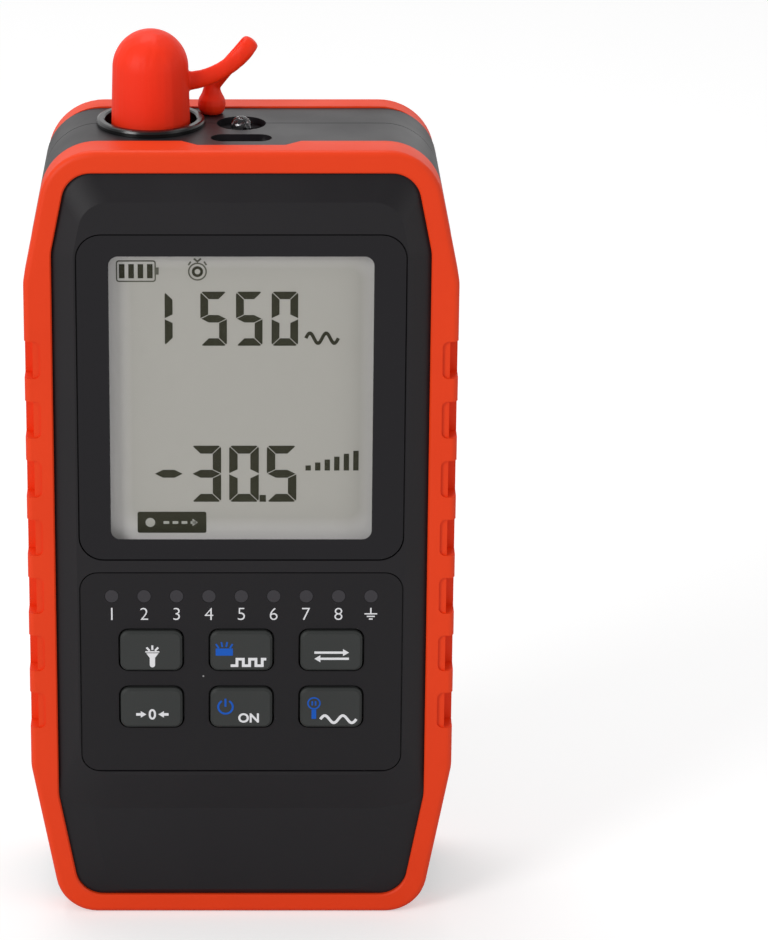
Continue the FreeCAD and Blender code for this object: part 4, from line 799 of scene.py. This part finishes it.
numbers = [(str(place + 1), LAMP_PITCH * (place - 4), NUMBER_Z, 1.95, -0.012)
           for place in range(8)]
lettering("lamp_numbers", numbers, PANEL_FACE, ink_white)
earth_x = 4 * LAMP_PITCH
earth = [rect(earth_x - 0.11, NUMBER_Z + 0.12, earth_x + 0.11, NUMBER_Z + 0.98)]
for row, half_width in enumerate((0.95, 0.6, 0.28)):
    top = NUMBER_Z + 0.12 - 0.42 * row
    earth.append(rect(earth_x - half_width, top - 0.2, earth_x + half_width, top))
printed("earth_sign", earth, PANEL_FACE, ink_white)

# %% [markdown]
# ## Key legends
# Every key says what it does with a picture. Each legend is a piece of its own that rides on
# its key's body, so that it goes down with the key when it is pressed. The rays of a lamp
# are a fan of equal bars about one hub, which is a second small tree.

# %% Ray fan tree
ray_fan, start, end = geometry_tree(
    "ray_fan", [("Count", "Int", 3), ("Hub", "Vector", (0, 0, 0)), ("Inner", "Float", 0.0005),
                ("Length", "Float", 0.0006), ("Width", "Float", 0.0002), ("Spread", "Float", 1.2),
                ("Depth", "Float", 0.00006)])
line = add(ray_fan, "GeometryNodeMeshLine", Offset=(0, 0, 0))
size = add(ray_fan, "ShaderNodeCombineXYZ")
ray = add(ray_fan, "GeometryNodeMeshCube")
reach = maths(ray_fan, "MULTIPLY_ADD", 0.5)
lift = add(ray_fan, "ShaderNodeCombineXYZ")
raised = add(ray_fan, "GeometryNodeTransform")
order = add(ray_fan, "GeometryNodeInputIndex")
last = maths(ray_fan, "SUBTRACT", 1.0)
share = maths(ray_fan, "DIVIDE")
centred = maths(ray_fan, "SUBTRACT", 0.5)
angle = maths(ray_fan, "MULTIPLY")
turn = add(ray_fan, "ShaderNodeCombineXYZ")
fan = add(ray_fan, "GeometryNodeInstanceOnPoints")
wire(ray_fan, (start, "Count", line, "Count"), (start, "Hub", line, "Start Location"))
for axis, label in (("X", "Width"), ("Y", "Depth"), ("Z", "Length")):
    wire(ray_fan, (start, label, size, axis))
wire(ray_fan, (size, 0, ray, "Size"), (start, "Length", reach, 0), (start, "Inner", reach, 2),
     (reach, 0, lift, "Z"), (ray, "Mesh", raised, "Geometry"), (lift, 0, raised, "Translation"),
     (start, "Count", last, 0), (order, 0, share, 0), (last, 0, share, 1), (share, 0, centred, 0),
     (centred, 0, angle, 0), (start, "Spread", angle, 1), (angle, 0, turn, "Y"),
     (line, "Mesh", fan, "Points"), (raised, "Geometry", fan, "Instance"),
     (turn, 0, fan, "Rotation"))
close_tree(ray_fan, start, end, fan.outputs["Instances"])
print("tree ready:", ray_fan.name)

# %% Torch and work lamp keys
torch_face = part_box("key_torch")[0].y
TORCH_X = -13.38
torch = [arc(TORCH_X, 42.05, 0.4, 180, 360, 10)]
torch[0] += [(TORCH_X + 0.4, 43.2), (TORCH_X + 0.92, 43.95), (TORCH_X - 0.92, 43.95),
             (TORCH_X - 0.4, 43.2)]
torch.append(rect(TORCH_X - 1.05, 44.07, TORCH_X + 1.05, 44.28))
printed("torch_sign", torch, torch_face, ink_white, "torch_key")
grown("torch_rays", ray_fan, ink_white, "torch_key", "light_white", Count=3,
      Hub=(TORCH_X * MM, torch_face, 43.9 * MM), Inner=0.6 * MM, Length=0.72 * MM,
      Width=0.3 * MM, Spread=1.45)

cont_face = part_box("key_cont")[0].y
lamp = rect(-3.86, 43.56, -1.27, 44.72)
printed("lamp_sign", [lamp], cont_face, ink_blue, "cont_key")
grown("lamp_rays", ray_fan, ink_blue, "cont_key", "key_grey", Count=4,
      Hub=(-2.56 * MM, cont_face, 43.4 * MM), Inner=1.6 * MM, Length=0.8 * MM,
      Width=0.26 * MM, Spread=1.1)
square = [(-1.6, 41.92), (-0.65, 41.92), (-0.65, 42.98), (0.3, 42.98), (0.3, 41.92), (1.25, 41.92),
          (1.25, 42.98), (2.2, 42.98), (2.2, 41.92), (3.15, 41.92), (3.15, 42.98), (3.75, 42.98)]
printed("pulse_sign", [stroke(square, 0.42)], cont_face, ink_white, "cont_key")

# %% Unit, zero, power and wave keys
unit_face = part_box("key_unit")[0].y
swap = [arrow(11.0, 16.2, 44.05, 0.36, 0.9), arrow(16.2, 11.0, 43.05, 0.36, 0.9)]
printed("swap_sign", swap, unit_face, ink_white, "unit_key")

ref_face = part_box("key_ref")[0].y
zero = [arrow(-15.9, -14.35, 33.93, 0.42, 0.85), arrow(-11.0, -12.55, 33.93, 0.42, 0.85)]
printed("zero_arrows", zero, ref_face, ink_white, "ref_key")
lettering("zero_figure", [("0", -13.45, 33.93, 1.71, 0.02)], ref_face, ink_white, "ref_key")

auto_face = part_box("key_auto")[0].y
power = [stroke(arc(-2.39, 35.15, 1.1, -240, 60, 24), 0.3), rect(-2.54, 35.2, -2.24, 36.5)]
printed("power_sign", power, auto_face, ink_blue, "auto_key")
lettering("on_mark", [("ON", 1.1, 33.34, 1.54, 0.03)], auto_face, ink_white, "auto_key")

wave_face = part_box("key_wave")[0].y
plug = ring(10.97, 35.75, 0.9, 0.22) + [rect(10.62, 33.2, 11.32, 34.72)]
plug += [rect(10.6, 35.4, 10.84, 36.1), rect(11.1, 35.4, 11.34, 36.1)]
printed("plug_sign", plug, wave_face, ink_blue, "wave_key")
printed("sine_sign", [sine(11.95, 17.4, 33.14, 0.6, 2, 0.42)], wave_face, ink_white, "wave_key")
print("key legends done")

# %% [markdown]
# ## Thread of the fibre port
# Under the cap the nickel port has a fine outside thread, onto which a cable's nut screws.
# A thread is one ridge that winds round the barrel, so a third tree sweeps a small profile
# along a spiral curve. It is a tenth of a millimetre high, which the cap's bore clears, and
# it stops below the keyway that guides a plug.

# %% Helix thread tree
helix_thread, start, end = geometry_tree(
    "helix_thread", [("Turns", "Float", 8.0), ("Radius", "Float", 0.004),
                     ("Height", "Float", 0.004), ("Ridge", "Float", 0.0001),
                     ("Foot", "Vector", (0, 0, 0))])
spiral = add(helix_thread, "GeometryNodeCurveSpiral", Resolution=40)
profile = add(helix_thread, "GeometryNodeCurvePrimitiveCircle", Resolution=6)
sweep = add(helix_thread, "GeometryNodeCurveToMesh", Fill_Caps=True)
move = add(helix_thread, "GeometryNodeTransform")
wire(helix_thread, (start, "Turns", spiral, "Rotations"),
     (start, "Radius", spiral, "Start Radius"), (start, "Radius", spiral, "End Radius"),
     (start, "Height", spiral, "Height"), (start, "Ridge", profile, "Radius"),
     (spiral, "Curve", sweep, "Curve"), (profile, "Curve", sweep, "Profile Curve"),
     (sweep, "Mesh", move, "Geometry"), (start, "Foot", move, "Translation"))
close_tree(helix_thread, start, end, move.outputs["Geometry"])
port_low, port_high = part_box("port_adapter")
port_centre = (port_low + port_high) / 2
grown("port_thread", helix_thread, nickel, slot="adapter_nickel", Turns=7.0,
      Radius=3.99 * MM, Height=3.4 * MM, Ridge=0.1 * MM,
      Foot=(port_centre.x, port_centre.y, 123.2 * MM))

# %% [markdown]
# ## Dust cap
# The cap is soft silicone, cast in one piece with a strap that folds back on itself and ends
# in a bulb, which keeps the cap from being lost. The CAD solid is firm and crisp. The soft
# one is made from three closed shells: a cap and a bulb turned from their profiles, and a
# strap swept along its path. A voxel remesh then melts the three into one skin, and a
# little smoothing gives the joints the fillets that a casting has.

# %% Turned and swept shells
CAP_X, CAP_Y = port_centre.x / MM, port_centre.y / MM
TOP_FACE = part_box("rear_cover")[1].z / MM
CAP_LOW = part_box("dust_cap")[0].z / MM


def turned(shells, profile, x, y, steps=72):
    """Closed shell turned from (radius, z) points in mm; both ends lie on the axis."""
    rings = []
    for radius, z in profile[1:-1]:
        rings.append([])
        for step in range(steps):
            angle = math.tau * step / steps
            place = (x + radius * math.cos(angle), y + radius * math.sin(angle), z)
            rings[-1].append(shells.verts.new(place))
    first = shells.verts.new((x, y, profile[0][1]))
    last = shells.verts.new((x, y, profile[-1][1]))
    for step in range(steps):
        after = (step + 1) % steps
        shells.faces.new((first, rings[0][after], rings[0][step]))
        shells.faces.new((last, rings[-1][step], rings[-1][after]))
        for low, high in zip(rings, rings[1:]):
            shells.faces.new((low[step], low[after], high[after], high[step]))


def swept(shells, path, steps=20):
    """Closed tube of oval section along (point, slant, width, thickness) stations in mm."""
    rings = []
    for place, (point, slant, width, thick) in enumerate(path):
        before = path[max(place - 1, 0)][0]
        after = path[min(place + 1, len(path) - 1)][0]
        along = (after - before).normalized()
        across = Vector((-math.sin(slant), 0, math.cos(slant)))
        across = (across - along * across.dot(along)).normalized()
        other = along.cross(across)
        ring_points = []
        for step in range(steps):
            angle = math.tau * step / steps
            offset = across * (math.cos(angle) * width / 2) + other * (math.sin(angle) * thick / 2)
            ring_points.append(shells.verts.new(point + offset))
        rings.append(ring_points)
    shells.faces.new(rings[0][::-1])
    shells.faces.new(rings[-1])
    for low, high in zip(rings, rings[1:]):
        for step in range(steps):
            after = (step + 1) % steps
            shells.faces.new((low[step], low[after], high[after], high[step]))


def bow(start, end, turn, count):
    """Stations (x, z, slant) on the arc between two (x, z) points that ends at a given slant."""
    chord = math.atan2(end[1] - start[1], end[0] - start[0])
    reach = math.hypot(end[0] - start[0], end[1] - start[1])
    first = 2 * chord - turn
    stations = []
    for step in range(count):
        slant = first + (turn - first) * step / (count - 1)
        half = (slant - first) / 2
        length = reach * math.sin(half) / math.sin((turn - first) / 2)
        stations.append((start[0] + length * math.cos(first + half),
                         start[1] + length * math.sin(first + half), slant))
    return stations


# %% Strap path
STRAP_TURN = math.radians(50)
STRAP_ROOT = (CAP_X + 5.2, TOP_FACE + 6.3)
STRAP_TIP = (0.6, TOP_FACE + 10.6)
BULB_X, BULB_Y = -4.4, 7.6
BULB_ROOT = (BULB_X, TOP_FACE + 4.2)
STRAND_PITCH = 2.5
STATIONS = 16
FOLD_STEPS = 10


def eased(share):
    """Smooth step from 0 to 1."""
    return share * share * (3 - 2 * share)


path = []
for step, (x, z, slant) in enumerate(bow(STRAP_ROOT, STRAP_TIP, STRAP_TURN, STATIONS)):
    share = step / (STATIONS - 1)
    flare = 1 + 0.16 * (1 - share) ** 4
    point = Vector((x, CAP_Y + 0.6 + 1.1 * eased(share), z))
    path.append((point, slant, 2.6 * flare, 1.2 * flare))
strand_y = CAP_Y + 1.7
for step in range(1, FOLD_STEPS):
    angle = math.pi * step / FOLD_STEPS
    out = STRAND_PITCH / 2 * math.sin(angle)
    point = Vector((STRAP_TIP[0] + out * math.cos(STRAP_TURN),
                    strand_y + STRAND_PITCH / 2 * (1 - math.cos(angle)),
                    STRAP_TIP[1] + out * math.sin(STRAP_TURN)))
    path.append((point, STRAP_TURN, 2.5, 1.15))
strand_y += STRAND_PITCH
for step, (x, z, slant) in enumerate(bow(BULB_ROOT, STRAP_TIP, STRAP_TURN, STATIONS)[::-1]):
    near_bulb = eased(step / (STATIONS - 1))
    point = Vector((x, strand_y + (BULB_Y - strand_y) * near_bulb, z))
    path.append((point, slant, 2.4, 1.15 + 1.1 * near_bulb))
print("strap stations:", len(path))

# %% Cap and bulb profiles
RIM_R, SPRING_R, DOME_H, CAP_TOP = 5.92, 5.62, 5.75, TOP_FACE + 14.3
BORE_R, BORE_TOP = 4.2, port_high.z / MM + 0.6
DOME_STEPS = 24
BULB = ((0, -2.6), (0.8, -2.6), (0.95, -2.4), (0.95, 0.02), (1.6, 0.05), (1.98, 0.7),
        (2.1, 1.5), (1.95, 2.3), (1.5, 3.1), (1.25, 3.9), (1.1, 4.6), (0, 4.9))

spring = CAP_TOP - DOME_H
profile = [(0, BORE_TOP), (BORE_R - 0.4, BORE_TOP), (BORE_R, BORE_TOP - 0.4),
           (BORE_R, CAP_LOW), (RIM_R, CAP_LOW), (SPRING_R, spring)]
for step in range(1, DOME_STEPS):
    angle = math.pi / 2 * step / DOME_STEPS
    profile.append((SPRING_R * math.cos(angle), spring + DOME_H * math.sin(angle)))
profile.append((0, CAP_TOP))
print("cap height:", round(CAP_TOP - CAP_LOW, 2), "mm")

# %% One skin
VOXEL = 0.16

shells = bmesh.new()
turned(shells, profile, CAP_X, CAP_Y)
swept(shells, path)
turned(shells, [(radius, TOP_FACE + rise) for radius, rise in BULB], BULB_X, BULB_Y, 40)
bmesh.ops.recalc_face_normals(shells, faces=shells.faces)
bmesh.ops.scale(shells, vec=(MM, MM, MM), verts=shells.verts)
data = bpy.data.meshes.new("cap_shells")
shells.to_mesh(data)
shells.free()
holder = show("cap_shells", data)
skin = holder.modifiers.new("skin", "REMESH")
skin.mode = "VOXEL"
skin.voxel_size = VOXEL * MM
skin.use_smooth_shade = True
fillet = holder.modifiers.new("fillet", "SMOOTH")
fillet.factor = 0.5
fillet.iterations = 5
soft_cap = settle(plain_mesh(holder), "soft_cap", silicone_orange, "cap")
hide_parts("dust_cap")

# %% [markdown]
# ## Inside the torch lamp
# A clear lamp shows its frame: a wide post that carries the chip in a small dish, and a thin
# one beside it. Both are stamped from sheet, so they are flat plates like the ink, only
# thicker, and the clear body bends their picture.

# %% Lamp frame
lamp_low, lamp_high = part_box("torch_led")
lamp_centre = (lamp_low + lamp_high) / 2
lamp_foot = lamp_low.z / MM + 0.7
ANVIL = ((-1.1, 0), (0.1, 0), (0.1, 1.5), (0.4, 2.1), (0.3, 2.35), (-0.15, 2.0), (-0.6, 2.0),
         (-0.95, 2.35), (-1.1, 2.1))
POST = ((0.55, 0), (1.0, 0), (1.0, 1.7), (0.75, 2.3), (0.55, 2.3))
HALF_SHEET = 0.25 * MM

stamped = [[(x, lamp_foot + rise) for x, rise in outline] for outline in (ANVIL, POST)]
plate_set("lamp_frame", stamped, lamp_centre.y - HALF_SHEET, lamp_centre.y + HALF_SHEET, tin,
          "meter")
